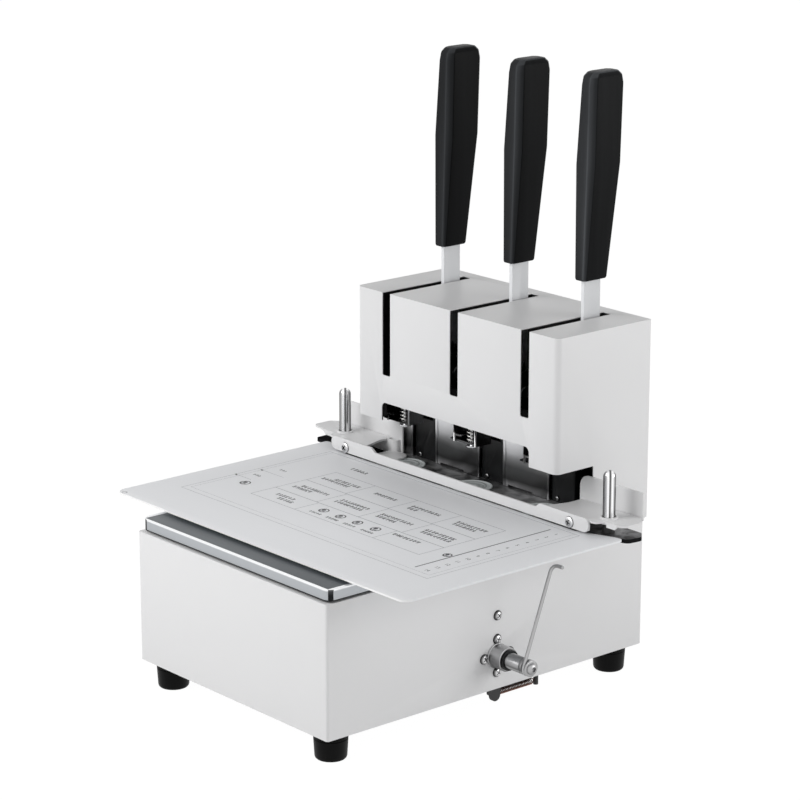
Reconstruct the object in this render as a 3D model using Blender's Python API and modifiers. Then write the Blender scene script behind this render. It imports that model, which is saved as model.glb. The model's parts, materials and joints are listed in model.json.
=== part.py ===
# Desk binding machine: three levers drive three needles down through a stack of paper.
# Metres, +Z up. The front of the machine faces -Y, and x = 0 is its middle.

import math

import bmesh
import bpy
from mathutils import Matrix, Vector

# Driving dimensions

STATION_PITCH = 0.080
STATION_COUNT = 3
SHEET = 0.0015
GAP = 0.0003
OVERRUN = 0.002
SIDES_SMALL = 12
SIDES = 20
SIDES_LARGE = 32
ARC_STEPS = 4
SMOOTH_ANGLE = math.radians(35)
MERGE_DISTANCE = 0.00001

# Widths: the stations set the hood, and the hood sets the cabinet below it

COLUMN_WIDTH = 0.0258
HOOD_SIDE_ROOM = 0.0221
HOOD_OVERLAP = 0.0018
HOOD_WIDTH = (STATION_COUNT - 1) * STATION_PITCH + COLUMN_WIDTH + 2 * HOOD_SIDE_ROOM
BASE_WIDTH = HOOD_WIDTH - 2 * HOOD_OVERLAP
BED_SIDE_INSET = 0.0007
BED_WIDTH = BASE_WIDTH - 2 * BED_SIDE_INSET
SLAB_SIDE_INSET = 0.0022
PLATFORM_SIDE_INSET = 0.0132
PLATFORM_WIDTH = BASE_WIDTH - 2 * PLATFORM_SIDE_INSET
POST_OUTSIDE_HOOD = 0.0387
POST_X = HOOD_WIDTH / 2 + POST_OUTSIDE_HOOD
TABLE_OUTSIDE_POST = 0.0213
TABLE_WIDTH = 2 * (POST_X + TABLE_OUTSIDE_POST)
WING_LEFT_REACH = 0.0333
WING_RIGHT_REACH = 0.0225
PLATE_LEFT_REACH = 0.0338
PLATE_RIGHT_REACH = 0.0237
MIDDLE_X = (PLATE_LEFT_REACH - PLATE_RIGHT_REACH) / 2
WALL_INSIDE = BASE_WIDTH / 2 - SHEET

# Heights: the bed's top sets everything that works above it

FOOT_HEIGHT = 0.0214
BASE_HEIGHT = 0.1035
SLAB_THICKNESS = 0.0098
BED_THICKNESS = 0.0032
BASE_TOP = FOOT_HEIGHT + BASE_HEIGHT
SLAB_BOTTOM = BASE_TOP + GAP
SLAB_TOP = SLAB_BOTTOM + SLAB_THICKNESS
BED_BOTTOM = SLAB_TOP + GAP
BED_TOP = BED_BOTTOM + BED_THICKNESS
TABLE_BOTTOM = BED_TOP - SHEET
PLATFORM_TOP = TABLE_BOTTOM - GAP
HOOD_SIDE_BOTTOM = BASE_TOP + GAP
AXLE_HEIGHT = 0.0715
AXLE_Z = BED_TOP + AXLE_HEIGHT
HOOD_RISE = 0.0726
HOOD_TOP = AXLE_Z + HOOD_RISE

# Depths, from the cabinet's front: the back sets the axles, and the axles set the needles

BASE_DEPTH = 0.3171
HOOD_BACK_OVERLAP = 0.0005
HOOD_BACK = BASE_DEPTH + HOOD_BACK_OVERLAP
TOTAL_DEPTH = HOOD_BACK
FRONT_Y = -TOTAL_DEPTH / 2
AXLE_INSET = 0.0336
AXLE_Y = HOOD_BACK - AXLE_INSET
NEEDLE_LEAD = 0.0437
NEEDLE_Y = AXLE_Y - NEEDLE_LEAD
BED_LEAD = 0.0171
BED_FRONT = NEEDLE_Y - BED_LEAD
BED_BACK_INSET = 0.0156
BED_BACK = HOOD_BACK - BED_BACK_INSET
TABLE_BACK = BED_FRONT - GAP

# Cabinet and feet

FOOT_RADIUS = 0.0130
FOOT_TIP_RADIUS = 0.0115
FOOT_INSET = 0.0177
FOOT_RECESS_RADIUS = 0.0062
FOOT_RECESS_DEPTH = 0.0070
FOOT_ROUNDING = 0.0015
BASE_EDGE_RADIUS = 0.0025

# Deck slab, table and bed

SLAB_FRONT = 0.0030
SLAB_PAST_BED = 0.0030
SLAB_BACK = BED_BACK + SLAB_PAST_BED
SLAB_CORNER_RADIUS = 0.0060
SLAB_STEP_INSET = 0.0040
SLAB_STEP_HEIGHT = 0.0012
PLATFORM_FRONT = 0.0300
PLATFORM_BACK_INSET = 0.0017
PLATFORM_BACK = BED_FRONT - PLATFORM_BACK_INSET
TABLE_FRONT = 0.0186
TABLE_CORNER_RADIUS = 0.0150
TABLE_BACK_RADIUS = 0.0040
WING_FRONT_LEAD = 0.0028
WING_FRONT_SLOPE = 0.0015
WING_BACK_REACH = 0.0165
WING_FRONT = NEEDLE_Y - WING_FRONT_LEAD
WING_FRONT_INNER = WING_FRONT - WING_FRONT_SLOPE
WING_BACK = NEEDLE_Y + WING_BACK_REACH
WING_RADIUS = 0.0030

# Hood

COLUMN_SETBACK = 0.0217
COLUMN_FRONT = NEEDLE_Y + COLUMN_SETBACK
HOOD_LEAD = 0.0200
HOOD_FRONT = NEEDLE_Y - HOOD_LEAD
HOOD_EDGE_RADIUS = 0.0080
HOOD_TOP_RADIUS = 0.0018
HOOD_TAB_HEIGHT = 0.0391
HOOD_TAB_BOTTOM = BED_TOP + HOOD_TAB_HEIGHT
HOOD_SIDE_LEAD = 0.0028
HOOD_SIDE_FRONT = COLUMN_FRONT - HOOD_SIDE_LEAD
HOOD_OPENING_HEIGHT = 0.0543
HOOD_OPENING_TOP = BED_TOP + HOOD_OPENING_HEIGHT
HOOD_TAB_WIDTH = 0.0300
HOOD_OPENING_WIDTH = HOOD_WIDTH - 2 * HOOD_TAB_WIDTH
HOOD_OPENING_RADIUS = 0.0045
HOOD_FLANGE = 0.0135
SLOT_WIDTH = 0.0088
SLOT_ABOVE_AXLE = 0.0053
SLOT_BOTTOM = AXLE_Z + SLOT_ABOVE_AXLE
SLOT_BEHIND_AXLE = 0.0225
SLOT_BACK = AXLE_Y + SLOT_BEHIND_AXLE
SLOT_RADIUS = 0.0016
COVER_RECESS = 0.0018
COVER_FRONT = HOOD_BACK - COVER_RECESS - SHEET

# Needle stations

PAD_RADIUS = 0.0163
PAD_THICKNESS = 0.0014
PAD_PROUD = 0.0005
PAD_TOP = BED_TOP + PAD_PROUD
PAD_RING_RADIUS = 0.0090
PAD_RING_DEPTH = 0.0004
COLUMN_BEHIND_AXLE = 0.0160
COLUMN_BACK = AXLE_Y + COLUMN_BEHIND_AXLE
COLUMN_ABOVE_AXLE = 0.0160
COLUMN_TOP = AXLE_Z + COLUMN_ABOVE_AXLE
FORK_DEPTH = 0.0375
FORK_BOTTOM = AXLE_Z - FORK_DEPTH
FORK_LEFT = 0.0029
FORK_RIGHT = 0.0090
AXLE_RADIUS = 0.0035
AXLE_HEAD_RADIUS = 0.0050
AXLE_HEAD_LENGTH = 0.0014

# Toothed drive: module 1.5, 29 teeth in a full circle

GEAR_MODULE = 0.0015
GEAR_TEETH = 29
PITCH_RADIUS = GEAR_MODULE * GEAR_TEETH / 2
TOOTH_PITCH = math.pi * GEAR_MODULE
TOOTH_BACKLASH = 0.00022
PRESSURE_ANGLE = math.radians(20)
LEVER_SWING = math.radians(80)
CARRIER_TRAVEL = PITCH_RADIUS * LEVER_SWING

# Lever

STRIP_THICKNESS = 0.0036
STRIP_WIDTH = 0.0170
STRIP_OFFSET = 0.0040
STRIP_EYE_RADIUS = 0.0130
STRIP_LENGTH = 0.1460
STRIP_TOP = AXLE_Z + STRIP_LENGTH
STRIP_END_RADIUS = 0.0030
SOCKET_DEPTH = 0.0438
GRIP_LENGTH = 0.1585
GRIP_START = STRIP_TOP - SOCKET_DEPTH
PINION_THICKNESS = 0.0056

# Carrier

CARRIER_LEAD = 0.0083
CARRIER_FRONT = NEEDLE_Y - CARRIER_LEAD
CARRIER_CLEARANCE = 0.0006
CARRIER_BACK = COLUMN_FRONT - CARRIER_CLEARANCE
CARRIER_ABOVE_BED = 0.0360
CARRIER_BOTTOM = BED_TOP + CARRIER_ABOVE_BED
CARRIER_HEIGHT = 0.0255
CARRIER_TOP = CARRIER_BOTTOM + CARRIER_HEIGHT
CARRIER_WALL = 0.0015
BRIDGE_LEAD = 0.0058
BRIDGE_FRONT = NEEDLE_Y - BRIDGE_LEAD
BRIDGE_BACK_REACH = 0.0177
BRIDGE_BACK = NEEDLE_Y + BRIDGE_BACK_REACH
BRIDGE_SUNK = 0.0040
BRIDGE_PROUD = 0.0060
BRIDGE_BOTTOM = CARRIER_TOP - BRIDGE_SUNK
BRIDGE_TOP = CARRIER_TOP + BRIDGE_PROUD
RACK_BACK_STOCK = 0.0060
RACK_WIDTH = 0.0052
RACK_LEFT = 0.0028
NEEDLE_RADIUS = 0.0022
NEEDLE_TIP_RADIUS = 0.0013
NEEDLE_TIP_DROP = 0.0048
NEEDLE_TIP = CARRIER_BOTTOM - NEEDLE_TIP_DROP
SPRING_SEAT_THICKNESS = 0.0013
SPRING_SEAT_DROP = 0.0035
SPRING_SEAT_BOTTOM = CARRIER_BOTTOM - SPRING_SEAT_DROP
SPRING_SEAT_TOP = SPRING_SEAT_BOTTOM + SPRING_SEAT_THICKNESS
SPRING_OUTER_RADIUS = 0.0047
SPRING_WIRE_RADIUS = 0.00062
SPRING_CURLS = 7
CURL_POINTS = 9

# Paper press

BAR_LEAD = 0.0012
BAR_FRONT = BED_FRONT - BAR_LEAD
BAR_THICKNESS = 0.0018
BAR_SHORT_OF_POST = 0.0047
BAR_LENGTH = 2 * (POST_X - BAR_SHORT_OF_POST)
BAR_ABOVE_BED = 0.0015
BAR_BOTTOM = BED_TOP + BAR_ABOVE_BED
BAR_WAIST_HEIGHT = 0.0075
BAR_END_HEIGHT = 0.0110
BAR_WAIST_TOP = BAR_BOTTOM + BAR_WAIST_HEIGHT
BAR_END_TOP = BAR_BOTTOM + BAR_END_HEIGHT
BAR_LEFT_STEP_INSET = 0.0437
BAR_LEFT_STEP_RUN = 0.0135
BAR_RIGHT_STEP_INSET = 0.0577
BAR_RIGHT_STEP_RUN = 0.0045
BAR_LEFT_STEP = POST_X - BAR_LEFT_STEP_INSET
BAR_RIGHT_STEP = POST_X - BAR_RIGHT_STEP_INSET
BAR_END_RADIUS = 0.0055
BAR_STEP_RADIUS = 0.0015
PLATE_LEFT_INSET = 0.0382
PLATE_RIGHT_INSET = 0.0475
PRESS_LIFT = 0.0250
END_PLATE_HEIGHT = 0.0100
END_PLATE_Z = BED_TOP + END_PLATE_HEIGHT
END_PLATE_BACK_INSET = 0.0001
END_PLATE_BACK = WING_BACK - END_PLATE_BACK_INSET
POST_LEAD = 0.0016
POST_Y = NEEDLE_Y - POST_LEAD
POST_RADIUS = 0.0048
POST_HEIGHT = 0.0486
POST_TOP = BED_TOP + POST_HEIGHT

# Side arm

ARM_Y = 0.1640
ARM_ABOVE_FEET = 0.0266
ARM_Z = FOOT_HEIGHT + ARM_ABOVE_FEET
ARM_LEAN = math.radians(21.8)
ARM_SWING = math.radians(35)
BOSS_RADIUS = 0.0100
BOSS_LENGTH = 0.0151
SHAFT_RADIUS = 0.0062
SHAFT_CLEARANCE = 0.0004
SHAFT_REACH = 0.0324
SHAFT_END = BASE_WIDTH / 2 + SHAFT_REACH
SPIGOT_RADIUS = 0.0034
SPIGOT_LENGTH = 0.0039
SPIGOT_END = SHAFT_END + SPIGOT_LENGTH
WIRE_RADIUS = 0.00175
ARM_RISE = 0.0770
ARM_HEIGHT = ARM_Z + ARM_RISE
ARM_TIP_REACH = 0.0080
TAIL_LENGTH = 0.0341
TAIL_SET = math.radians(5)
TAIL_PIN_RADIUS = 0.0020
RETURN_SPRING_INSET = 0.0077
RETURN_SPRING_X = WALL_INSIDE - RETURN_SPRING_INSET
RETURN_SPRING_RUN = 0.0467
RETURN_SPRING_BACK = ARM_Y + RETURN_SPRING_RUN
ANCHOR_RADIUS = 0.0020

# Stations

STATION_NUMBERS = range(1, STATION_COUNT + 1)


def station_x(number):
    """Middle of a needle station, numbered from the left."""
    return (number - (STATION_COUNT + 1) / 2) * STATION_PITCH


# Scene set-up

for old_object in list(bpy.data.objects):
    bpy.data.objects.remove(old_object, do_unlink=True)

PARTS = bpy.data.collections.new("binding_machine")
CUTTERS = bpy.data.collections.new("binding_machine_cutters")
bpy.context.scene.collection.children.link(PARTS)
bpy.context.scene.collection.children.link(CUTTERS)


def material(name, color, roughness, metallic):
    """Principled material of one colour."""
    made = bpy.data.materials.new(name)
    made.use_nodes = True
    shader = made.node_tree.nodes["Principled BSDF"]
    shader.inputs["Base Color"].default_value = (*color, 1.0)
    shader.inputs["Roughness"].default_value = roughness
    shader.inputs["Metallic"].default_value = metallic
    made.diffuse_color = (*color, 1.0)
    return made


WHITE_PAINT = material("white_paint", (0.78, 0.78, 0.79), 0.45, 0.0)
TABLE_PAINT = material("table_paint", (0.72, 0.73, 0.75), 0.50, 0.0)
SLAB_FINISH = material("slab_finish", (0.20, 0.23, 0.26), 0.30, 0.9)
DARK_STEEL = material("dark_steel", (0.09, 0.09, 0.10), 0.38, 0.9)
BLACK_FINISH = material("black_finish", (0.02, 0.02, 0.022), 0.35, 0.2)
STAINLESS = material("stainless", (0.50, 0.50, 0.49), 0.28, 1.0)
CHROME = material("chrome", (0.75, 0.75, 0.76), 0.12, 1.0)
ZINC = material("zinc", (0.42, 0.43, 0.44), 0.35, 1.0)
GRIP_PLASTIC = material("grip_plastic", (0.018, 0.018, 0.020), 0.42, 0.0)
RUBBER = material("rubber", (0.015, 0.015, 0.015), 0.75, 0.0)
PAD_PLASTIC = material("pad_plastic", (0.50, 0.54, 0.54), 0.45, 0.0)
SPRING_STEEL = material("spring_steel", (0.60, 0.58, 0.55), 0.25, 1.0)
COPPER_STEEL = material("copper_steel", (0.36, 0.22, 0.15), 0.35, 1.0)


# Modelling helpers: every shape is made in the machine's own frame,
# with y measured from the cabinet's front face.

def to_object(name, mesh, finish):
    """Put a mesh in the parts collection with its material, y moved to the machine's centre."""
    mesh.transform(Matrix.Translation((MIDDLE_X, FRONT_Y, 0)))
    mesh.materials.clear()
    mesh.materials.append(finish)
    mesh.shade_smooth()
    mesh.set_sharp_from_angle(angle=SMOOTH_ANGLE)
    made = bpy.data.objects.new(name, mesh)
    PARTS.objects.link(made)
    return made


def mesh_from(name, shape):
    """Turn a bmesh into a mesh with outward normals."""
    bmesh.ops.recalc_face_normals(shape, faces=shape.faces)
    mesh = bpy.data.meshes.new(name)
    shape.to_mesh(mesh)
    shape.free()
    return mesh


def box(name, low, high, finish, bevel=0, bevel_axis=None):
    """Box between two corners, with its edges along one axis or all of them bevelled."""
    size = [abs(upper - lower) for lower, upper in zip(low, high)]
    middle = (Vector(high) + Vector(low)) / 2
    shape = bmesh.new()
    place = Matrix.Translation(middle) @ Matrix.Diagonal((*size, 1))
    bmesh.ops.create_cube(shape, size=1, matrix=place)
    if bevel:
        edges = list(shape.edges)
        if bevel_axis is not None:
            edges = [edge for edge in edges if along_axis(edge, bevel_axis)]
        bmesh.ops.bevel(shape, geom=edges, offset=bevel, segments=2, affect="EDGES", profile=0.5)
    return to_object(name, mesh_from(name, shape), finish)


def along_axis(edge, axis):
    """True where an edge runs along one of the axes 0, 1 or 2."""
    run = edge.verts[1].co - edge.verts[0].co
    return abs(run[axis]) > run.length / 2


def cylinder(name, radius, start, end, finish, sides=SIDES):
    """Cylinder between two points."""
    run = Vector(end) - Vector(start)
    place = Matrix.Translation((Vector(start) + Vector(end)) / 2)
    place = place @ run.to_track_quat("Z", "Y").to_matrix().to_4x4()
    shape = bmesh.new()
    bmesh.ops.create_cone(
        shape, cap_ends=True, segments=sides, radius1=radius, radius2=radius,
        depth=run.length, matrix=place)
    return to_object(name, mesh_from(name, shape), finish)


def turned(name, profile, finish, place=None, sides=SIDES):
    """Solid of revolution about Z: the profile is (radius, height) from top to bottom."""
    shape = bmesh.new()
    points = [shape.verts.new((radius, 0, height)) for radius, height in profile]
    for first, second in zip(points, points[1:]):
        shape.edges.new((first, second))
    closed = profile[0][0] > 0
    if closed:
        shape.edges.new((points[-1], points[0]))
    mesh = bpy.data.meshes.new(name)
    shape.to_mesh(mesh)
    shape.free()
    made = bpy.data.objects.new(name, mesh)
    PARTS.objects.link(made)
    screw = made.modifiers.new("Screw", "SCREW")
    screw.steps = sides
    screw.render_steps = sides
    screw.use_merge_vertices = True
    screw.merge_threshold = MERGE_DISTANCE
    solid = evaluated_mesh(made)
    bpy.data.objects.remove(made)
    if place is not None:
        solid.transform(place)
    return to_object(name, solid, finish)




def evaluated_mesh(made):
    """Mesh of an object with its modifiers, welded, with outward normals."""
    bpy.context.view_layer.update()
    graph = bpy.context.evaluated_depsgraph_get()
    mesh = bpy.data.meshes.new_from_object(made.evaluated_get(graph))
    shape = bmesh.new()
    shape.from_mesh(mesh)
    bmesh.ops.remove_doubles(shape, verts=shape.verts, dist=MERGE_DISTANCE)
    bmesh.ops.recalc_face_normals(shape, faces=shape.faces)
    shape.to_mesh(mesh)
    shape.free()
    return mesh


def curve_object(name, outlines, dimensions):
    """Curve object of straight-sided splines: each outline is a list of points."""
    curve = bpy.data.curves.new(name, "CURVE")
    curve.dimensions = dimensions
    for outline in outlines:
        spline = curve.splines.new("POLY")
        spline.points.add(len(outline) - 1)
        for point, place in zip(spline.points, outline):
            point.co = (*place, 0, 1) if len(place) == 2 else (*place, 1)
        spline.use_cyclic_u = dimensions == "2D"
    made = bpy.data.objects.new(name, curve)
    PARTS.objects.link(made)
    return made


def plate(name, outlines, low, high, normal, finish):
    """Flat plate between two levels along the axis "X", "Y" or "Z": outlines are filled, inner ones are holes."""
    flat = curve_object(name, outlines, "2D")
    flat.data.fill_mode = "BOTH"
    flat.data.extrude = (high - low) / 2
    mesh = evaluated_mesh(flat)
    bpy.data.objects.remove(flat)
    mesh.transform(PLANES[normal])
    shift = Vector((0, 0, 0))
    shift["XYZ".index(normal)] = (high + low) / 2
    mesh.transform(Matrix.Translation(shift))
    return to_object(name, mesh, finish)


# Turns a profile's axis from Z to X
TO_X = Matrix.Rotation(math.radians(90), 4, "Y")

# Outline axes: (y, z) for a plate facing X, (x, z) facing Y and (x, y) facing Z.
PLANES = {
    "X": Matrix(((0, 0, 1, 0), (1, 0, 0, 0), (0, 1, 0, 0), (0, 0, 0, 1))),
    "Y": Matrix.Rotation(math.radians(90), 4, "X"),
    "Z": Matrix.Identity(4),
}


def wire(name, points, radius, finish, resolution):
    """Round wire along a list of points."""
    path = curve_object(name, [points], "3D")
    path.data.bevel_depth = radius
    path.data.bevel_resolution = resolution
    path.data.use_fill_caps = True
    mesh = evaluated_mesh(path)
    bpy.data.objects.remove(path)
    return to_object(name, mesh, finish)


def rounded(corners, steps=ARC_STEPS):
    """Closed outline through (a, b, radius) corners, each rounded by its radius."""
    outline = []
    for index, (a, b, radius) in enumerate(corners):
        corner = Vector((a, b))
        if radius == 0:
            outline.append(tuple(corner))
            continue
        before = (Vector(corners[index - 1][:2]) - corner).normalized()
        after = (Vector(corners[(index + 1) % len(corners)][:2]) - corner).normalized()
        half_angle = before.angle(after) / 2
        reach = radius / math.tan(half_angle)
        centre = corner + (before + after).normalized() * radius / math.sin(half_angle)
        start = corner + before * reach - centre
        end = corner + after * reach - centre
        turn = math.atan2(start.x * end.y - start.y * end.x, start.dot(end))
        for step in range(steps + 1):
            outline.append(tuple(centre + Matrix.Rotation(turn * step / steps, 2) @ start))
    return outline


def mirrored(corners):
    """Corners on the +x side followed by their mirror images, as one closed outline."""
    return corners + [(-a, b, radius) for a, b, radius in reversed(corners)]


def arc(centre, radius, start, end, steps):
    """Points on a circle from one angle to another, in radians."""
    return [
        (centre[0] + radius * math.cos(start + (end - start) * step / steps),
         centre[1] + radius * math.sin(start + (end - start) * step / steps))
        for step in range(steps + 1)
    ]


def circle(centre, radius, sides=SIDES_SMALL):
    """Closed circle as an outline, for a hole or a disc."""
    return arc(centre, radius, 0, math.tau * (sides - 1) / sides, sides - 1)


def rectangle(low_a, high_a, low_b, high_b, radius=0):
    """Corners of a rectangle, all with one radius."""
    return [(low_a, low_b, radius), (high_a, low_b, radius),
            (high_a, high_b, radius), (low_a, high_b, radius)]


def boolean(target, tool, operation):
    """Cut or join with another object, which then only guides the shape."""
    PARTS.objects.unlink(tool)
    CUTTERS.objects.link(tool)
    tool.name = f"{target.name}_{operation.lower()}_{len(target.modifiers)}"
    tool.hide_render = True
    tool.display_type = "WIRE"
    step = target.modifiers.new(operation.title(), "BOOLEAN")
    step.object = tool
    step.operation = operation
    step.solver = "EXACT"


def carve(target, *tools):
    for tool in tools:
        boolean(target, tool, "DIFFERENCE")


def join(target, *tools):
    for tool in tools:
        boolean(target, tool, "UNION")


def hang_on(empty, *pieces):
    """Give pieces the joint's point as their origin and the empty as their parent."""
    for piece in pieces:
        piece.data.transform(Matrix.Translation(-empty.location))
        piece.parent = empty


def joint_point(name, place):
    """Empty on a joint's axis."""
    empty = bpy.data.objects.new(name, None)
    empty.location = (place[0] + MIDDLE_X, place[1] + FRONT_Y, place[2])
    PARTS.objects.link(empty)
    return empty


# Cabinet

TAIL_SLOT_WIDTH = 0.0114
TAIL_SLOT_INSET = 0.0018
TAIL_SLOT_RIGHT = WALL_INSIDE - TAIL_SLOT_INSET
TAIL_SLOT_LEFT = TAIL_SLOT_RIGHT - TAIL_SLOT_WIDTH
TAIL_SLOT_AHEAD = 0.0240
TAIL_SLOT_BEHIND = 0.0120
TAIL_SLOT_FRONT = ARM_Y - TAIL_SLOT_AHEAD
TAIL_SLOT_BACK = ARM_Y + TAIL_SLOT_BEHIND
ANCHOR_LENGTH = 0.0109
ANCHOR_BOTTOM = FOOT_HEIGHT - ANCHOR_LENGTH


def build_cabinet():
    """Deep-drawn shell, open below, with the side arm's bore in its right wall."""
    half = BASE_WIDTH / 2
    cabinet = box("base_cabinet", (-half, 0, FOOT_HEIGHT), (half, BASE_DEPTH, BASE_TOP),
                  WHITE_PAINT, BASE_EDGE_RADIUS, 2)
    hollow = box("hollow", (-WALL_INSIDE, SHEET, FOOT_HEIGHT - OVERRUN),
                 (WALL_INSIDE, BASE_DEPTH - SHEET, BASE_TOP - SHEET), WHITE_PAINT)
    bore = cylinder("bore", SHAFT_RADIUS + 2 * SHAFT_CLEARANCE, (WALL_INSIDE - OVERRUN, ARM_Y, ARM_Z),
                    (half + OVERRUN, ARM_Y, ARM_Z), WHITE_PAINT)
    carve(cabinet, hollow, bore)


def build_floor():
    """Bottom sheet with a slot for the arm's tail and a stud for its spring."""
    side = WALL_INSIDE - GAP
    sheet = rounded(rectangle(-side, side, SHEET + GAP, BASE_DEPTH - SHEET - GAP))
    slot = rounded(rectangle(TAIL_SLOT_LEFT, TAIL_SLOT_RIGHT, TAIL_SLOT_FRONT, TAIL_SLOT_BACK))
    floor = plate("base_floor", [sheet, slot], FOOT_HEIGHT, FOOT_HEIGHT + SHEET, "Z", ZINC)
    anchor_y = RETURN_SPRING_BACK + GAP + ANCHOR_RADIUS
    stud = cylinder("stud", ANCHOR_RADIUS, (RETURN_SPRING_X, anchor_y, ANCHOR_BOTTOM),
                    (RETURN_SPRING_X, anchor_y, FOOT_HEIGHT + SHEET / 2), ZINC, SIDES_SMALL)
    join(floor, stud)


def build_feet():
    top = FOOT_HEIGHT - GAP
    profile = [
        (0, top), (FOOT_RADIUS, top),
        (FOOT_TIP_RADIUS, FOOT_ROUNDING), (FOOT_TIP_RADIUS - FOOT_ROUNDING, 0),
        (FOOT_RECESS_RADIUS, 0), (FOOT_RECESS_RADIUS, FOOT_RECESS_DEPTH), (0, FOOT_RECESS_DEPTH),
    ]
    side = BASE_WIDTH / 2 - FOOT_INSET
    places = [(x, y) for y in (FOOT_INSET, BASE_DEPTH - FOOT_INSET) for x in (-side, side)]
    for number, (x, y) in enumerate(places, 1):
        turned(f"foot_{number}", profile, RUBBER, Matrix.Translation((x, y, 0)))


def build_slab():
    side = BASE_WIDTH / 2 - SLAB_SIDE_INSET
    rim = rounded(rectangle(-side, side, SLAB_FRONT, SLAB_BACK, SLAB_CORNER_RADIUS))
    slab = plate("slab_plate", [rim], SLAB_BOTTOM + SLAB_STEP_HEIGHT, SLAB_TOP, "Z", SLAB_FINISH)
    inner = side - SLAB_STEP_INSET
    step = plate("step", [rounded(rectangle(
        -inner, inner, SLAB_FRONT + SLAB_STEP_INSET, SLAB_BACK - SLAB_STEP_INSET))],
        SLAB_BOTTOM, SLAB_TOP - SLAB_STEP_HEIGHT, "Z", SLAB_FINISH)
    half = PLATFORM_WIDTH / 2
    platform = box("platform", (-half, PLATFORM_FRONT, SLAB_TOP - SLAB_STEP_HEIGHT),
                   (half, PLATFORM_BACK, PLATFORM_TOP), SLAB_FINISH)
    join(slab, step, platform)


def build_table():
    half = TABLE_WIDTH / 2
    outline = rounded(mirrored([
        (half, TABLE_FRONT, TABLE_CORNER_RADIUS), (half, TABLE_BACK, TABLE_BACK_RADIUS)]))
    plate("work_table", [outline], TABLE_BOTTOM, BED_TOP, "Z", TABLE_PAINT)


# Bed, pads, posts and brackets

WING_TIP_DEPTH = 0.0080
WING_TIP_CUT = 0.0120
WING_NECK_INSET = 0.0277
WING_NECK = POST_X - WING_NECK_INSET
WING_STEP = 0.0040
BRACKET_SIDE_INSET = 0.0091
BRACKET_OUTSIDE_POST = 0.0168
BRACKET_INNER = BED_WIDTH / 2 - BRACKET_SIDE_INSET
BRACKET_OUTER = POST_X + BRACKET_OUTSIDE_POST
BRACKET_HEIGHT = 0.0307
BRACKET_CLEAR_HEIGHT = 0.0090
BRACKET_TOP = BED_TOP + BRACKET_HEIGHT
BRACKET_BOTTOM = BED_TOP + BRACKET_CLEAR_HEIGHT
BRACKET_LEAD = 0.0046
BRACKET_FRONT = COLUMN_FRONT - BRACKET_LEAD
BRACKET_RADIUS = 0.0090
BRACKET_LEG_LEAD = 0.0054
BRACKET_LEG_FRONT = BRACKET_FRONT - BRACKET_LEG_LEAD
BRACKET_LEG_INSET = 0.0021
BRACKET_LEG_INNER = BRACKET_INNER + BRACKET_LEG_INSET
BRACKET_LEG_LENGTH = 0.0400
BRACKET_LEG_RADIUS = 0.0050
BRACKET_FOOT_LEAD = 0.0140
BRACKET_FOOT_WIDTH = 0.0124
BRACKET_FOOT_OVERLAP = 0.0020
BRACKET_FOOT_FRONT = BRACKET_LEG_FRONT - BRACKET_FOOT_LEAD
BRACKET_FOOT_INNER = BRACKET_INNER - BRACKET_FOOT_WIDTH
BRACKET_FOOT_RADIUS = 0.0060


def wing_corners(side, outer):
    """Bed outline of one side, from its front edge round the wing to its back edge."""
    half_bed = BED_WIDTH / 2
    corners = [
        (WING_NECK, BED_FRONT, WING_RADIUS),
        (WING_NECK + WING_STEP, WING_FRONT_INNER, WING_RADIUS),
        (outer - WING_RADIUS, WING_FRONT, WING_RADIUS),
        (outer, WING_FRONT + WING_TIP_DEPTH, WING_RADIUS),
        (outer - WING_TIP_CUT, WING_BACK, WING_RADIUS),
        (half_bed, WING_BACK, 0),
        (half_bed, BED_BACK, 0),
    ]
    return [(side * x, y, radius) for x, y, radius in corners]


def build_bed():
    corners = wing_corners(1, POST_X + WING_RIGHT_REACH)
    corners += reversed(wing_corners(-1, POST_X + WING_LEFT_REACH))
    bed = plate("bed_plate", [rounded(corners)], BED_BOTTOM, BED_TOP, "Z", DARK_STEEL)
    for number in STATION_NUMBERS:
        x = station_x(number)
        seat_bottom = PAD_TOP - PAD_THICKNESS - GAP
        seat = cylinder("seat", PAD_RADIUS + GAP, (x, NEEDLE_Y, seat_bottom),
                        (x, NEEDLE_Y, BED_TOP + OVERRUN), DARK_STEEL, SIDES_LARGE)
        carve(bed, seat)
        ring = PAD_RING_RADIUS
        profile = [
            (0, PAD_TOP), (ring, PAD_TOP), (ring + PAD_RING_DEPTH, PAD_TOP - PAD_RING_DEPTH),
            (ring + 2 * PAD_RING_DEPTH, PAD_TOP), (PAD_RADIUS - PAD_RING_DEPTH, PAD_TOP),
            (PAD_RADIUS, PAD_TOP - PAD_RING_DEPTH), (PAD_RADIUS, PAD_TOP - PAD_THICKNESS),
            (0, PAD_TOP - PAD_THICKNESS),
        ]
        turned(f"pad_{number}", profile, PAD_PLASTIC, Matrix.Translation((x, NEEDLE_Y, 0)), SIDES_LARGE)


DOME_STEPS = 4
SIDE_NAMES = {-1: "left", 1: "right"}


def build_posts():
    shoulder = POST_TOP - POST_RADIUS
    dome = [
        (POST_RADIUS * math.sin(math.pi / 2 * step / DOME_STEPS),
         shoulder + POST_RADIUS * math.cos(math.pi / 2 * step / DOME_STEPS))
        for step in range(DOME_STEPS + 1)
    ]
    profile = dome + [(POST_RADIUS, BED_TOP + GAP), (0, BED_TOP + GAP)]
    for side, side_name in SIDE_NAMES.items():
        place = Matrix.Translation((side * POST_X, POST_Y, 0))
        turned(f"guide_post_{side_name}", profile, CHROME, place)


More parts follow.
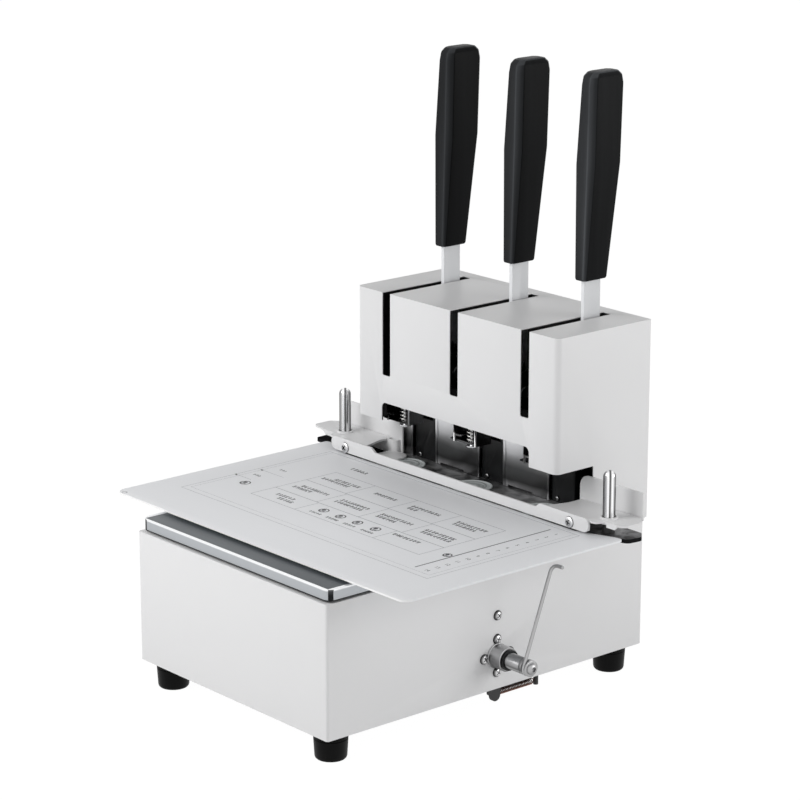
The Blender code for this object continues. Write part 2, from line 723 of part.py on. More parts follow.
def build_brackets():
    foot_bottom = PAD_TOP + GAP
    for side, side_name in SIDE_NAMES.items():
        flange = [
            (side * BRACKET_INNER, BED_TOP + GAP, 0),
            (side * (BED_WIDTH / 2 - GAP), BED_TOP + GAP, 0),
            (side * (BED_WIDTH / 2 - GAP), BRACKET_BOTTOM, 0),
            (side * BRACKET_OUTER, BRACKET_BOTTOM, 0),
            (side * BRACKET_OUTER, BRACKET_TOP, SHEET),
            (side * BRACKET_INNER, BRACKET_TOP, BRACKET_RADIUS),
        ]
        bracket = plate(f"guide_bracket_{side_name}", [rounded(flange)],
                        BRACKET_FRONT, BRACKET_FRONT + SHEET, "Y", WHITE_PAINT)
        outer = BRACKET_LEG_INNER + BRACKET_LEG_LENGTH
        leg_back = BRACKET_FRONT + SHEET / 2
        leg = [
            (side * BRACKET_LEG_INNER, leg_back, 0),
            (side * BRACKET_LEG_INNER, BRACKET_LEG_FRONT, BRACKET_LEG_RADIUS),
            (side * outer, BRACKET_LEG_FRONT, 0),
            (side * outer, BRACKET_LEG_FRONT + SHEET, 0),
            (side * (BRACKET_LEG_INNER + SHEET), BRACKET_LEG_FRONT + SHEET, BRACKET_LEG_RADIUS - SHEET),
            (side * (BRACKET_LEG_INNER + SHEET), leg_back, 0),
        ]
        foot = [
            (side * (BED_WIDTH / 2 - GAP), BRACKET_FOOT_FRONT, SHEET),
            (side * BRACKET_FOOT_INNER, BRACKET_FOOT_FRONT, BRACKET_FOOT_RADIUS),
            (side * BRACKET_FOOT_INNER, BRACKET_LEG_FRONT + BRACKET_FOOT_OVERLAP, SHEET),
            (side * (BED_WIDTH / 2 - GAP), BRACKET_LEG_FRONT + BRACKET_FOOT_OVERLAP, 0),
        ]
        join(bracket, plate("leg", [rounded(leg)], BED_TOP + GAP, END_PLATE_Z - GAP, "Z", WHITE_PAINT))
        join(bracket, plate("foot", [rounded(foot)], foot_bottom, foot_bottom + SHEET, "Z", WHITE_PAINT))


# Back stops and columns

STOP_LEAD = 0.0014
STOP_FRONT = COLUMN_FRONT - STOP_LEAD
STOP_HEIGHT = 0.0665
STOP_TOP = BED_TOP + STOP_HEIGHT
STOP_CLEARANCE = 0.0009
STOP_SIDE_INSET = 0.0005
STOP_LEFT_END = BED_WIDTH / 2 - STOP_SIDE_INSET
HEM_WIDTH = 0.0024
HEM_PROUD = 0.0007
STOP_NOTCH = 0.0280
STOP_NOTCH_INSET = 0.0055
STOP_NOTCH_HEIGHT = 0.0015
COLUMN_SCREW_X = 0.0060
COLUMN_SCREW_HEIGHT = 0.0030
COLUMN_SCREW_Z = BED_TOP + COLUMN_SCREW_HEIGHT
COLUMN_SCREW_RADIUS = 0.0023
COLUMN_SCREW_HEAD = 0.0014
COLUMN_SHANK_RADIUS = 0.0012
COLUMN_SHANK_LENGTH = 0.0070
COLUMN_CHAMFER = 0.0010


def build_stop(name, left, right, with_notch):
    """Stainless sheet between two columns, with a rolled edge at both ends."""
    bottom = BED_TOP + GAP
    if with_notch:
        first = left + STOP_NOTCH_INSET
        second = first + STOP_NOTCH
        lift = bottom + STOP_NOTCH_HEIGHT
        outline = [(left, bottom), (first, bottom), (first, lift), (second, lift),
                   (second, bottom), (right, bottom), (right, STOP_TOP), (left, STOP_TOP)]
    else:
        outline = [(left, bottom), (right, bottom), (right, STOP_TOP), (left, STOP_TOP)]
    back = STOP_FRONT + SHEET
    stop = plate(name, [outline], STOP_FRONT, back, "Y", STAINLESS)
    for start in (left, right - HEM_WIDTH):
        hem = box("hem", (start, STOP_FRONT - HEM_PROUD, bottom), (start + HEM_WIDTH, back, STOP_TOP),
                  STAINLESS, HEM_PROUD / 2, 2)
        join(stop, hem)


def build_stops():
    reach = COLUMN_WIDTH / 2 + STOP_CLEARANCE
    build_stop("stop_plate_left", -STOP_LEFT_END, station_x(1) - reach, False)
    for number in (1, 2):
        left = station_x(number) + reach
        right = station_x(number + 1) - reach
        build_stop(f"stop_plate_mid_{number}", left, right, True)


def build_columns():
    half = COLUMN_WIDTH / 2
    bottom = BED_TOP + GAP
    for number in STATION_NUMBERS:
        x = station_x(number)
        column = box(f"column_{number}", (x - half, COLUMN_FRONT, bottom),
                     (x + half, COLUMN_BACK, COLUMN_TOP), BLACK_FINISH, COLUMN_CHAMFER, 2)
        fork = box("fork", (x - FORK_LEFT, COLUMN_FRONT - OVERRUN, FORK_BOTTOM),
                   (x + FORK_RIGHT, COLUMN_BACK + OVERRUN, COLUMN_TOP + OVERRUN), BLACK_FINISH)
        bore = cylinder("bore", AXLE_RADIUS + GAP, (x - COLUMN_WIDTH, AXLE_Y, AXLE_Z),
                        (x + COLUMN_WIDTH, AXLE_Y, AXLE_Z), BLACK_FINISH)
        hole = cylinder("hole", COLUMN_SHANK_RADIUS + GAP,
                        (x - COLUMN_SCREW_X, COLUMN_FRONT - OVERRUN, COLUMN_SCREW_Z),
                        (x - COLUMN_SCREW_X, COLUMN_FRONT + COLUMN_SHANK_LENGTH + GAP, COLUMN_SCREW_Z),
                        BLACK_FINISH, SIDES_SMALL)
        carve(column, fork, bore, hole)
        turn = Matrix.Rotation(math.radians(-90), 4, "X")
        place = Matrix.Translation((x - COLUMN_SCREW_X, COLUMN_FRONT, COLUMN_SCREW_Z)) @ turn
        screw = button_screw(COLUMN_SCREW_RADIUS, COLUMN_SCREW_HEAD, COLUMN_SHANK_RADIUS, COLUMN_SHANK_LENGTH)
        turned(f"column_screw_{number}", screw, CHROME, place, SIDES_SMALL)


def button_screw(radius, head, shank_radius, shank_length):
    """Profile of a button-headed screw: its shank runs up from 0, its head hangs below."""
    return [
        (0, shank_length), (shank_radius, shank_length), (shank_radius, -GAP), (radius, -GAP),
        (radius, -head / 2), (radius / 2, -head), (0, -head),
    ]


def build_axles():
    """Pins through the forks, riveted over at both ends."""
    cheek = COLUMN_WIDTH / 2 + GAP
    end = cheek + AXLE_HEAD_LENGTH
    profile = [
        (0, end), (AXLE_HEAD_RADIUS, end), (AXLE_HEAD_RADIUS, cheek), (AXLE_RADIUS, cheek),
        (AXLE_RADIUS, -cheek), (AXLE_HEAD_RADIUS, -cheek), (AXLE_HEAD_RADIUS, -end), (0, -end),
    ]
    for number in STATION_NUMBERS:
        place = Matrix.Translation((station_x(number), AXLE_Y, AXLE_Z)) @ TO_X
        turned(f"lever_axle_{number}", profile, ZINC, place)


# Hood

def build_hood():
    half = HOOD_WIDTH / 2
    inside = half - SHEET
    outline = rounded([
        (-half, HOOD_FRONT, HOOD_EDGE_RADIUS), (half, HOOD_FRONT, HOOD_EDGE_RADIUS),
        (half, HOOD_BACK, 0), (-half, HOOD_BACK, 0)])
    hood = plate("hood", [outline], HOOD_SIDE_BOTTOM, HOOD_TOP, "Z", WHITE_PAINT)
    shape = bmesh.new()
    shape.from_mesh(hood.data)
    rim = [edge for edge in shape.edges
           if min(vert.co.z for vert in edge.verts) > HOOD_TOP - SHEET
           and any(abs(face.normal.z) < math.sqrt(2) / 2 for face in edge.link_faces)]
    bmesh.ops.bevel(shape, geom=rim, offset=HOOD_TOP_RADIUS, segments=2, affect="EDGES", profile=0.5)
    shape.to_mesh(hood.data)
    shape.free()
    hood.data.shade_smooth()
    hood.data.set_sharp_from_angle(angle=SMOOTH_ANGLE)

    flange_front = COVER_FRONT - GAP - SHEET
    inner_radius = HOOD_EDGE_RADIUS - SHEET
    cavity = plate("cavity", [rounded([
        (-inside, HOOD_FRONT + SHEET, inner_radius), (inside, HOOD_FRONT + SHEET, inner_radius),
        (inside, flange_front, 0), (-inside, flange_front, 0)])],
        HOOD_SIDE_BOTTOM - OVERRUN, HOOD_TOP - SHEET, "Z", WHITE_PAINT)
    window_side = inside - HOOD_FLANGE
    window_top = HOOD_TOP - SHEET - HOOD_FLANGE
    window = box("window", (-window_side, flange_front - OVERRUN, HOOD_SIDE_BOTTOM - OVERRUN),
                 (window_side, HOOD_BACK + OVERRUN, window_top), WHITE_PAINT)
    recess = box("recess", (-inside, flange_front + SHEET, HOOD_SIDE_BOTTOM - OVERRUN),
                 (inside, HOOD_BACK + OVERRUN, HOOD_TOP - SHEET), WHITE_PAINT)
    underside = box("underside", (-HOOD_WIDTH, HOOD_FRONT - OVERRUN, HOOD_SIDE_BOTTOM - OVERRUN),
                    (HOOD_WIDTH, HOOD_SIDE_FRONT, HOOD_TAB_BOTTOM), WHITE_PAINT)
    half_opening = HOOD_OPENING_WIDTH / 2
    opening = plate("opening", [rounded(mirrored([
        (half_opening, HOOD_TAB_BOTTOM - OVERRUN, 0),
        (half_opening, HOOD_OPENING_TOP, HOOD_OPENING_RADIUS)]))],
        HOOD_FRONT - OVERRUN, HOOD_FRONT + SHEET + OVERRUN, "Y", WHITE_PAINT)
    carve(hood, cavity, window, recess, underside, opening)
    for number in STATION_NUMBERS:
        x = station_x(number)
        slot = plate("slot", [rounded([
            (x - SLOT_WIDTH / 2, SLOT_BOTTOM, SLOT_RADIUS), (x + SLOT_WIDTH / 2, SLOT_BOTTOM, SLOT_RADIUS),
            (x + SLOT_WIDTH / 2, HOOD_TOP + OVERRUN, 0), (x - SLOT_WIDTH / 2, HOOD_TOP + OVERRUN, 0)])],
            HOOD_FRONT - OVERRUN, SLOT_BACK, "Y", WHITE_PAINT)
        carve(hood, slot)


def build_cover():
    side = HOOD_WIDTH / 2 - SHEET - GAP
    box("back_cover", (-side, COVER_FRONT, HOOD_SIDE_BOTTOM),
        (side, COVER_FRONT + SHEET, HOOD_TOP - SHEET - GAP), WHITE_PAINT)


# Levers: strip, pinion and grip

PINION_FIRST_TOOTH = -8
PINION_LAST_TOOTH = 1
PINION_HUB_RADIUS = 0.0105
TIP_HEIGHT = GEAR_MODULE
ROOT_DEPTH = 1.25 * GEAR_MODULE


def tooth_half_width(height):
    """Half a tooth's width at a height above the pitch line."""
    return TOOTH_PITCH / 4 - TOOTH_BACKLASH - height * math.tan(PRESSURE_ANGLE)


def pinion_outline():
    """Toothed sector about the axle: one tooth points at the rack, the rest follow above it."""
    outline = []
    for number in range(PINION_FIRST_TOOTH, PINION_LAST_TOOTH + 1):
        middle = math.pi + number * math.tau / GEAR_TEETH
        for height, side in ((-ROOT_DEPTH, -1), (0, -1), (TIP_HEIGHT, -1),
                             (TIP_HEIGHT, 1), (0, 1), (-ROOT_DEPTH, 1)):
            radius = PITCH_RADIUS + height
            angle = middle + side * tooth_half_width(height) / radius
            outline.append((AXLE_Y + radius * math.cos(angle), AXLE_Z + radius * math.sin(angle)))
    hub_start = math.pi + (PINION_LAST_TOOTH + 2) * math.tau / GEAR_TEETH
    hub_end = math.pi + (PINION_FIRST_TOOTH - 2) * math.tau / GEAR_TEETH + math.tau
    outline += arc((AXLE_Y, AXLE_Z), PINION_HUB_RADIUS, hub_start, hub_end, SIDES_SMALL)
    return outline


def strip_outline():
    """Eye round the axle with the straight arm rising from it."""
    front = STRIP_OFFSET - STRIP_WIDTH / 2
    back = STRIP_OFFSET + STRIP_WIDTH / 2
    start = math.pi - math.acos(-front / STRIP_EYE_RADIUS)
    end = math.acos(back / STRIP_EYE_RADIUS) + math.tau
    eye = arc((AXLE_Y, AXLE_Z), STRIP_EYE_RADIUS, start, end, SIDES)
    top = rounded([
        (AXLE_Y + back, AXLE_Z + STRIP_EYE_RADIUS, 0), (AXLE_Y + back, STRIP_TOP, STRIP_END_RADIUS),
        (AXLE_Y + front, STRIP_TOP, STRIP_END_RADIUS), (AXLE_Y + front, AXLE_Z + STRIP_EYE_RADIUS, 0)])
    return eye + top


# Grip sections, bottom to top: share of the height, front and back of the section
# measured from the strip's middle, thickness, and the chamfer of its four corners.
GRIP_BOTTOM_FRONT = 0.0128
GRIP_BOTTOM_BACK = 0.0125
GRIP_BOTTOM_THICKNESS = 0.0125
GRIP_WAIST_FRONT = 0.0118
GRIP_WAIST_BACK = 0.0230
GRIP_WAIST_THICKNESS = 0.0205
GRIP_SHOULDER_FRONT = 0.0090
GRIP_SHOULDER_BACK = 0.0265
GRIP_SHOULDER_THICKNESS = 0.0170
GRIP_CHAMFER = 0.0045
GRIP_WAIST_SHARE = 0.56
GRIP_SHOULDER_SHARE = 0.935
GRIP_LIP_SHARE = 0.008
GRIP_CROWN_SHARES = ((0.975, 0.93), (0.995, 0.74), (1.0, 0.52))


def grip_sections():
    """(z, front, back, thickness, chamfer) of each section, bottom to top."""
    height = GRIP_LENGTH
    middle = AXLE_Y + STRIP_OFFSET
    lip = GRIP_CHAMFER / 8
    bottom_front = middle - GRIP_BOTTOM_FRONT
    bottom_back = middle + GRIP_BOTTOM_BACK
    front = middle - GRIP_SHOULDER_FRONT
    back = middle + GRIP_SHOULDER_BACK
    sections = [
        (GRIP_START, bottom_front + lip, bottom_back - lip, GRIP_BOTTOM_THICKNESS - 2 * lip,
         GRIP_CHAMFER / 2),
        (GRIP_START + GRIP_LIP_SHARE * height, bottom_front, bottom_back, GRIP_BOTTOM_THICKNESS,
         GRIP_CHAMFER / 2),
        (GRIP_START + GRIP_WAIST_SHARE * height, middle - GRIP_WAIST_FRONT, middle + GRIP_WAIST_BACK,
         GRIP_WAIST_THICKNESS, GRIP_CHAMFER),
        (GRIP_START + GRIP_SHOULDER_SHARE * height, front, back, GRIP_SHOULDER_THICKNESS, GRIP_CHAMFER),
    ]
    centre = (front + back) / 2
    half = (back - front) / 2
    for height_share, width_share in GRIP_CROWN_SHARES:
        sections.append((
            GRIP_START + height_share * height, centre - half * width_share, centre + half * width_share,
            GRIP_SHOULDER_THICKNESS * width_share, GRIP_CHAMFER * width_share))
    return sections


def section_points(x, z, front, back, thickness, chamfer):
    """Corners of a chamfered rectangle lying level at height z."""
    half = thickness / 2
    corners = [
        (front + chamfer, -half), (back - chamfer, -half), (back, -half + chamfer),
        (back, half - chamfer), (back - chamfer, half), (front + chamfer, half),
        (front, half - chamfer), (front, -half + chamfer),
    ]
    return [Vector((x + across, y, z)) for y, across in corners]


def grip_mesh(name, x):
    """Grip extruded upwards from its bottom section, through one section after another."""
    sections = [section_points(x, *section) for section in grip_sections()]
    shape = bmesh.new()
    ring = [shape.verts.new(point) for point in sections[0]]
    cap = shape.faces.new(ring)
    for section in sections[1:]:
        grown = bmesh.ops.extrude_face_region(shape, geom=[cap])["geom"]
        top = next(item for item in grown if isinstance(item, bmesh.types.BMFace))
        if section is not sections[1]:
            bmesh.ops.delete(shape, geom=[cap], context="FACES_ONLY")
        for corner, point in zip([loop.vert for loop in top.loops], section):
            corner.co = point
        cap = top
    return mesh_from(name, shape)


def build_levers():
    half = STRIP_THICKNESS / 2
    for number in STATION_NUMBERS:
        x = station_x(number)
        pivot = joint_point(f"lever_pivot_{number}", (x, AXLE_Y, AXLE_Z))
        hole = circle((AXLE_Y, AXLE_Z), AXLE_RADIUS + GAP, SIDES)
        strip = plate(f"lever_strip_{number}", [strip_outline(), hole], x - half, x + half,
                      "X", WHITE_PAINT)
        pinion_left = x + half + GAP
        pinion = plate(f"pinion_{number}", [pinion_outline(), hole], pinion_left,
                       pinion_left + PINION_THICKNESS, "X", DARK_STEEL)
        grip_name = f"lever_grip_{number}"
        grip = to_object(grip_name, grip_mesh(grip_name, x), GRIP_PLASTIC)
        reach = STRIP_WIDTH / 2 + GAP
        middle = AXLE_Y + STRIP_OFFSET
        socket = box("socket", (x - half - GAP, middle - reach, GRIP_START - OVERRUN),
                     (x + half + GAP, middle + reach, STRIP_TOP + GAP), GRIP_PLASTIC)
        carve(grip, socket)
        hang_on(pivot, strip, pinion, grip)


# Carriers: channel, bridge and rack in one, with the needle and its spring

FOOT_PLATE_LEAD = 0.0063
FOOT_PLATE_FRONT = NEEDLE_Y - FOOT_PLATE_LEAD
SPRING_HOLE_CLEARANCE = 0.0007
LIP_REACH = 0.0060
LIP_DEPTH = 0.0060
LIP_FRONT = FOOT_PLATE_FRONT
LIP_BACK = LIP_FRONT + LIP_DEPTH
LIP_THICKNESS = 0.0012
RACK_BELOW = 0.0010
RACK_ABOVE = 0.0055
NEEDLE_SOCKET_ROOF = 0.0005
NEEDLE_SOCKET_TOP = BRIDGE_TOP - NEEDLE_SOCKET_ROOF


def rack_outline():
    """Toothed bar with a tooth space level with the axle, so it meshes with the pinion at rest."""
    pitch_line = AXLE_Y - PITCH_RADIUS
    root = pitch_line - ROOT_DEPTH
    back = root - RACK_BACK_STOCK
    bottom = BRIDGE_BOTTOM + RACK_BELOW
    top = AXLE_Z + CARRIER_TRAVEL + RACK_ABOVE
    outline = [(back, top), (back, bottom), (root, bottom)]
    number = 0
    while AXLE_Z + (number - 1 / 2) * TOOTH_PITCH > BRIDGE_TOP:
        number -= 1
    first = number
    while AXLE_Z + (first + 1 / 2) * TOOTH_PITCH < top - TOOTH_PITCH / 2:
        middle = AXLE_Z + (first + 1 / 2) * TOOTH_PITCH
        for height, side in ((-ROOT_DEPTH, -1), (TIP_HEIGHT, -1), (TIP_HEIGHT, 1), (-ROOT_DEPTH, 1)):
            outline.append((pitch_line + height, middle + side * tooth_half_width(height)))
        first += 1
    outline.append((root, top))
    return outline


def build_carriers():
    half = COLUMN_WIDTH / 2
    inner = half - CARRIER_WALL
    for number in STATION_NUMBERS:
        x = station_x(number)
        pivot = joint_point(f"carrier_slide_{number}", (x, NEEDLE_Y, CARRIER_BOTTOM))
        channel = [
            (x - half, CARRIER_FRONT), (x - inner, CARRIER_FRONT), (x - inner, CARRIER_BACK - CARRIER_WALL),
            (x + inner, CARRIER_BACK - CARRIER_WALL), (x + inner, CARRIER_FRONT), (x + half, CARRIER_FRONT),
            (x + half, CARRIER_BACK), (x - half, CARRIER_BACK),
        ]
        carrier = plate(f"carrier_{number}", [channel], CARRIER_BOTTOM, CARRIER_TOP, "Z", DARK_STEEL)
        hole_radius = SPRING_OUTER_RADIUS + SPRING_HOLE_CLEARANCE
        foot = plate("foot", [
            rounded(rectangle(x - inner - CARRIER_WALL / 2, x + inner + CARRIER_WALL / 2,
                              FOOT_PLATE_FRONT, CARRIER_BACK - CARRIER_WALL / 2)),
            circle((x, NEEDLE_Y), hole_radius, SIDES)],
            CARRIER_BOTTOM, CARRIER_BOTTOM + CARRIER_WALL, "Z", DARK_STEEL)
        bridge = box("bridge", (x - inner - CARRIER_WALL / 2, BRIDGE_FRONT, BRIDGE_BOTTOM),
                     (x + inner + CARRIER_WALL / 2, BRIDGE_BACK, BRIDGE_TOP), DARK_STEEL)
        rack = plate("rack", [rack_outline()], x + RACK_LEFT, x + RACK_LEFT + RACK_WIDTH, "X", DARK_STEEL)
        lip = box("lip", (x - half - LIP_REACH, LIP_FRONT, CARRIER_BOTTOM),
                  (x - inner - CARRIER_WALL / 2, LIP_BACK, CARRIER_BOTTOM + LIP_THICKNESS), DARK_STEEL)
        join(carrier, foot, bridge, rack, lip)
        socket = cylinder("socket", NEEDLE_RADIUS + GAP, (x, NEEDLE_Y, BRIDGE_BOTTOM - OVERRUN),
                          (x, NEEDLE_Y, NEEDLE_SOCKET_TOP), DARK_STEEL)
        carve(carrier, socket)
        needle = build_needle(number, x)
        spring = build_carrier_spring(number, x)
        hang_on(pivot, carrier, needle, spring)


def build_needle(number, x):
    point = NEEDLE_TIP + NEEDLE_RADIUS - NEEDLE_TIP_RADIUS
    profile = [
        (0, NEEDLE_SOCKET_TOP - GAP), (NEEDLE_RADIUS, NEEDLE_SOCKET_TOP - GAP),
        (NEEDLE_RADIUS, SPRING_SEAT_TOP), (SPRING_OUTER_RADIUS, SPRING_SEAT_TOP),
        (SPRING_OUTER_RADIUS, SPRING_SEAT_BOTTOM), (NEEDLE_RADIUS, SPRING_SEAT_BOTTOM),
        (NEEDLE_RADIUS, point), (NEEDLE_TIP_RADIUS, NEEDLE_TIP), (0, NEEDLE_TIP),
    ]
    return turned(f"needle_{number}", profile, CHROME, Matrix.Translation((x, NEEDLE_Y, 0)))


def coil_points(centre, coil_radius, wire_radius, start, end, curls, points_per_curl):
    """Coil about Z between two levels, with both ends straight along Z for one wire diameter."""
    straight = 2 * wire_radius
    low = start + straight
    high = end - straight
    count = curls * points_per_curl
    points = [(centre[0] + coil_radius, centre[1], start)]
    for step in range(count + 1):
        turn = math.tau * step / points_per_curl
        points.append((centre[0] + coil_radius * math.cos(turn), centre[1] + coil_radius * math.sin(turn),
                       low + (high - low) * step / count))
    points.append((centre[0] + coil_radius, centre[1], end))
    return points


def least_gap(points, wire_radius, points_per_curl):
    """Least distance between the wire's surface on one curl and on any other."""
    least = math.inf
    far = points_per_curl * 3 // 4
    for first in range(len(points)):
        for second in range(first + far, len(points)):
            least = min(least, (Vector(points[first]) - Vector(points[second])).length)
    return least - 2 * wire_radius


def build_carrier_spring(number, x):
    coil_radius = SPRING_OUTER_RADIUS - SPRING_WIRE_RADIUS
    points = coil_points((x, NEEDLE_Y), coil_radius, SPRING_WIRE_RADIUS, SPRING_SEAT_TOP + GAP,
                         BRIDGE_BOTTOM - GAP, SPRING_CURLS, CURL_POINTS)
    print(f"carrier_spring_{number} least gap", least_gap(points, SPRING_WIRE_RADIUS, CURL_POINTS))
    return wire(f"carrier_spring_{number}", points, SPRING_WIRE_RADIUS, SPRING_STEEL, 1)


# Paper press

LOBE_OUT = 0.0015
LOBE_WIDTH = 0.0060
LIP_OUTSIDE_POST = 0.0043
LIP_WIDTH = 0.0125
LIP_INNER = POST_X + LIP_OUTSIDE_POST
LIP_OUTER = LIP_INNER + LIP_WIDTH
LIP_LEAD = 0.0103
LIP_Y = NEEDLE_Y - LIP_LEAD
LIP_DROP = 0.0025
PLATE_TIP_LEAD = 0.0068
PLATE_TIP_DEPTH = 0.0125
PLATE_TIP_CUT = 0.0120
PLATE_CORNER_RADIUS = 0.0040
PLATE_SMALL_RADIUS = 0.0015
FLANGE_INSET = 0.0023
FLANGE_END_INSET = 0.0020
FLANGE_OUTER = BAR_LENGTH / 2 - FLANGE_END_INSET
FLANGE_ABOVE_BAR = 0.0012
FLANGE_BOTTOM = BAR_BOTTOM + FLANGE_ABOVE_BAR
PRESS_SCREW_INSET = 0.0160
PRESS_SCREW_X = FLANGE_OUTER - PRESS_SCREW_INSET
PRESS_SCREW_HEIGHT = 0.0045
PRESS_SCREW_Z = BAR_BOTTOM + PRESS_SCREW_HEIGHT
BUSH_RADIUS = 0.0068
BUSH_DROP = 0.0020
BUSH_CLEARANCE = 0.0005
BUSH_PROUD = 0.0014
PRESS_SCREW_RADIUS = 0.0041
PRESS_SCREW_HEAD = 0.0018
PRESS_SHANK_RADIUS = 0.0017
PRESS_SHANK_LENGTH = 0.0060


def build_press():
    pivot = joint_point("press_slide", (0, POST_Y, BAR_BOTTOM))
    half = BAR_LENGTH / 2
    bar_outline = rounded([
        (half, BAR_BOTTOM, BAR_END_RADIUS), (half, BAR_END_TOP, BAR_END_RADIUS),
        (BAR_RIGHT_STEP, BAR_END_TOP, BAR_STEP_RADIUS),
        (BAR_RIGHT_STEP - BAR_RIGHT_STEP_RUN, BAR_WAIST_TOP, BAR_STEP_RADIUS),
        (BAR_LEFT_STEP_RUN - BAR_LEFT_STEP, BAR_WAIST_TOP, BAR_STEP_RADIUS),
        (-BAR_LEFT_STEP, BAR_END_TOP, BAR_STEP_RADIUS),
        (-half, BAR_END_TOP, BAR_END_RADIUS), (-half, BAR_BOTTOM, BAR_END_RADIUS)])
    holes = [circle((side * PRESS_SCREW_X, PRESS_SCREW_Z), PRESS_SHANK_RADIUS + GAP)
             for side in SIDE_NAMES]
    bar = plate("press_bar", [bar_outline] + holes, BAR_FRONT, BAR_FRONT + BAR_THICKNESS, "Y", WHITE_PAINT)
    ends = [build_end_plate(side, side_name) for side, side_name in SIDE_NAMES.items()]
    hang_on(pivot, bar, *ends)
    turn = Matrix.Rotation(math.radians(-90), 4, "X")
    profile = button_screw(PRESS_SCREW_RADIUS, PRESS_SCREW_HEAD, PRESS_SHANK_RADIUS, PRESS_SHANK_LENGTH)
    for side, side_name in SIDE_NAMES.items():
        place = Matrix.Translation((side * PRESS_SCREW_X, BAR_FRONT, PRESS_SCREW_Z)) @ turn
        hang_on(pivot, turned(f"press_screw_{side_name}", profile, CHROME, place, SIDES_SMALL))


def build_end_plate(side, side_name):
    """Winged plate with a guide bush, a front flange behind the bar and a small bent lip."""
    front = BAR_FRONT + BAR_THICKNESS + GAP
    wing = BAR_LENGTH / 2
    inner = POST_X - (PLATE_LEFT_INSET if side < 0 else PLATE_RIGHT_INSET)
    outer = POST_X + (PLATE_LEFT_REACH if side < 0 else PLATE_RIGHT_REACH)
    tip_front = NEEDLE_Y - PLATE_TIP_LEAD
    corners = [
        (inner, front, 0),
        (wing + GAP, front, 0),
        (wing + LOBE_OUT, front - LOBE_OUT, PLATE_SMALL_RADIUS / 2),
        (wing + LOBE_WIDTH, front, PLATE_SMALL_RADIUS),
        (LIP_INNER, LIP_Y, PLATE_SMALL_RADIUS),
        (LIP_OUTER, LIP_Y, PLATE_SMALL_RADIUS),
        (outer, tip_front, PLATE_CORNER_RADIUS),
        (outer, tip_front + PLATE_TIP_DEPTH, PLATE_CORNER_RADIUS),
        (outer - PLATE_TIP_CUT, END_PLATE_BACK, PLATE_CORNER_RADIUS),
        (inner, END_PLATE_BACK, 0),
    ]
    outline = rounded([(side * x, y, radius) for x, y, radius in corners])
    top = END_PLATE_Z + SHEET
    end = plate(f"end_plate_{side_name}", [outline], END_PLATE_Z, top, "Z", WHITE_PAINT)
    inside = top - SHEET / 2
    flange = box("flange", (side * (inner + FLANGE_INSET), front, FLANGE_BOTTOM),
                 (side * FLANGE_OUTER, front + SHEET, inside), WHITE_PAINT)
    lip = box("lip", (side * (LIP_INNER + SHEET), LIP_Y, END_PLATE_Z - LIP_DROP),
              (side * (LIP_OUTER - SHEET), LIP_Y + SHEET, inside), WHITE_PAINT)
    bush = cylinder("bush", BUSH_RADIUS, (side * POST_X, POST_Y, END_PLATE_Z - BUSH_DROP),
                    (side * POST_X, POST_Y, top + BUSH_PROUD), CHROME)
    join(end, flange, lip, bush)
    bore = cylinder("bore", POST_RADIUS + BUSH_CLEARANCE, (side * POST_X, POST_Y, BED_TOP - OVERRUN),
                    (side * POST_X, POST_Y, POST_TOP), CHROME)
    hole = cylinder("hole", PRESS_SHANK_RADIUS + GAP,
                    (side * PRESS_SCREW_X, front - OVERRUN, PRESS_SCREW_Z),
                    (side * PRESS_SCREW_X, front + SHEET + OVERRUN, PRESS_SCREW_Z), CHROME, SIDES_SMALL)
    carve(end, bore, hole)
    return end


# Side arm: boss, ring and screws on the wall, then the shaft, the wire and the return spring

RING_LENGTH = 0.0020
RING_RADIUS = 0.0093
WASHER_RADIUS = 0.0064
WASHER_THICKNESS = 0.0011
ARM_SCREW_RADIUS = 0.0044
ARM_SCREW_HEAD = 0.0030
ARM_SHANK_RADIUS = 0.0015
ARM_SHANK_LENGTH = 0.0080
TAIL_INSET = 0.0054
TAIL_LEFT = WALL_INSIDE - TAIL_INSET
TAIL_THICKNESS = 0.0030
TAIL_HUB_RADIUS = 0.0110
TAIL_END_RADIUS = 0.0045
TAIL_PIN_LENGTH = 0.0053
TAIL_PIN_LEFT = TAIL_LEFT - TAIL_PIN_LENGTH
RETURN_COIL_RADIUS = 0.0022
RETURN_WIRE_RADIUS = 0.00045
RETURN_CURLS = 24
RETURN_CURL_POINTS = 8
RETURN_LEG = 0.0030
EYE_TURN = math.radians(290)
EYE_STEPS = 14
BEND_RADIUS = 0.0040
BEND_STEPS = 4


def build_boss():
    wall = BASE_WIDTH / 2 + GAP
    place = Matrix.Translation((wall, ARM_Y, ARM_Z)) @ TO_X
    bore = SHAFT_RADIUS + SHAFT_CLEARANCE
    turned("side_boss", [(bore, BOSS_LENGTH), (BOSS_RADIUS, BOSS_LENGTH), (BOSS_RADIUS, 0), (bore, 0)],
           ZINC, place, SIDES_LARGE)
    low = BOSS_LENGTH + GAP
    turned("bush_ring", [(bore, low + RING_LENGTH), (RING_RADIUS, low + RING_LENGTH),
                         (RING_RADIUS, low), (bore, low)], BLACK_FINISH, place, SIDES_LARGE)


def tail_pin_place():
    """(y, z) of the pin at the tail's lower end."""
    return (ARM_Y + TAIL_LENGTH * math.sin(TAIL_SET), ARM_Z - TAIL_LENGTH * math.cos(TAIL_SET))


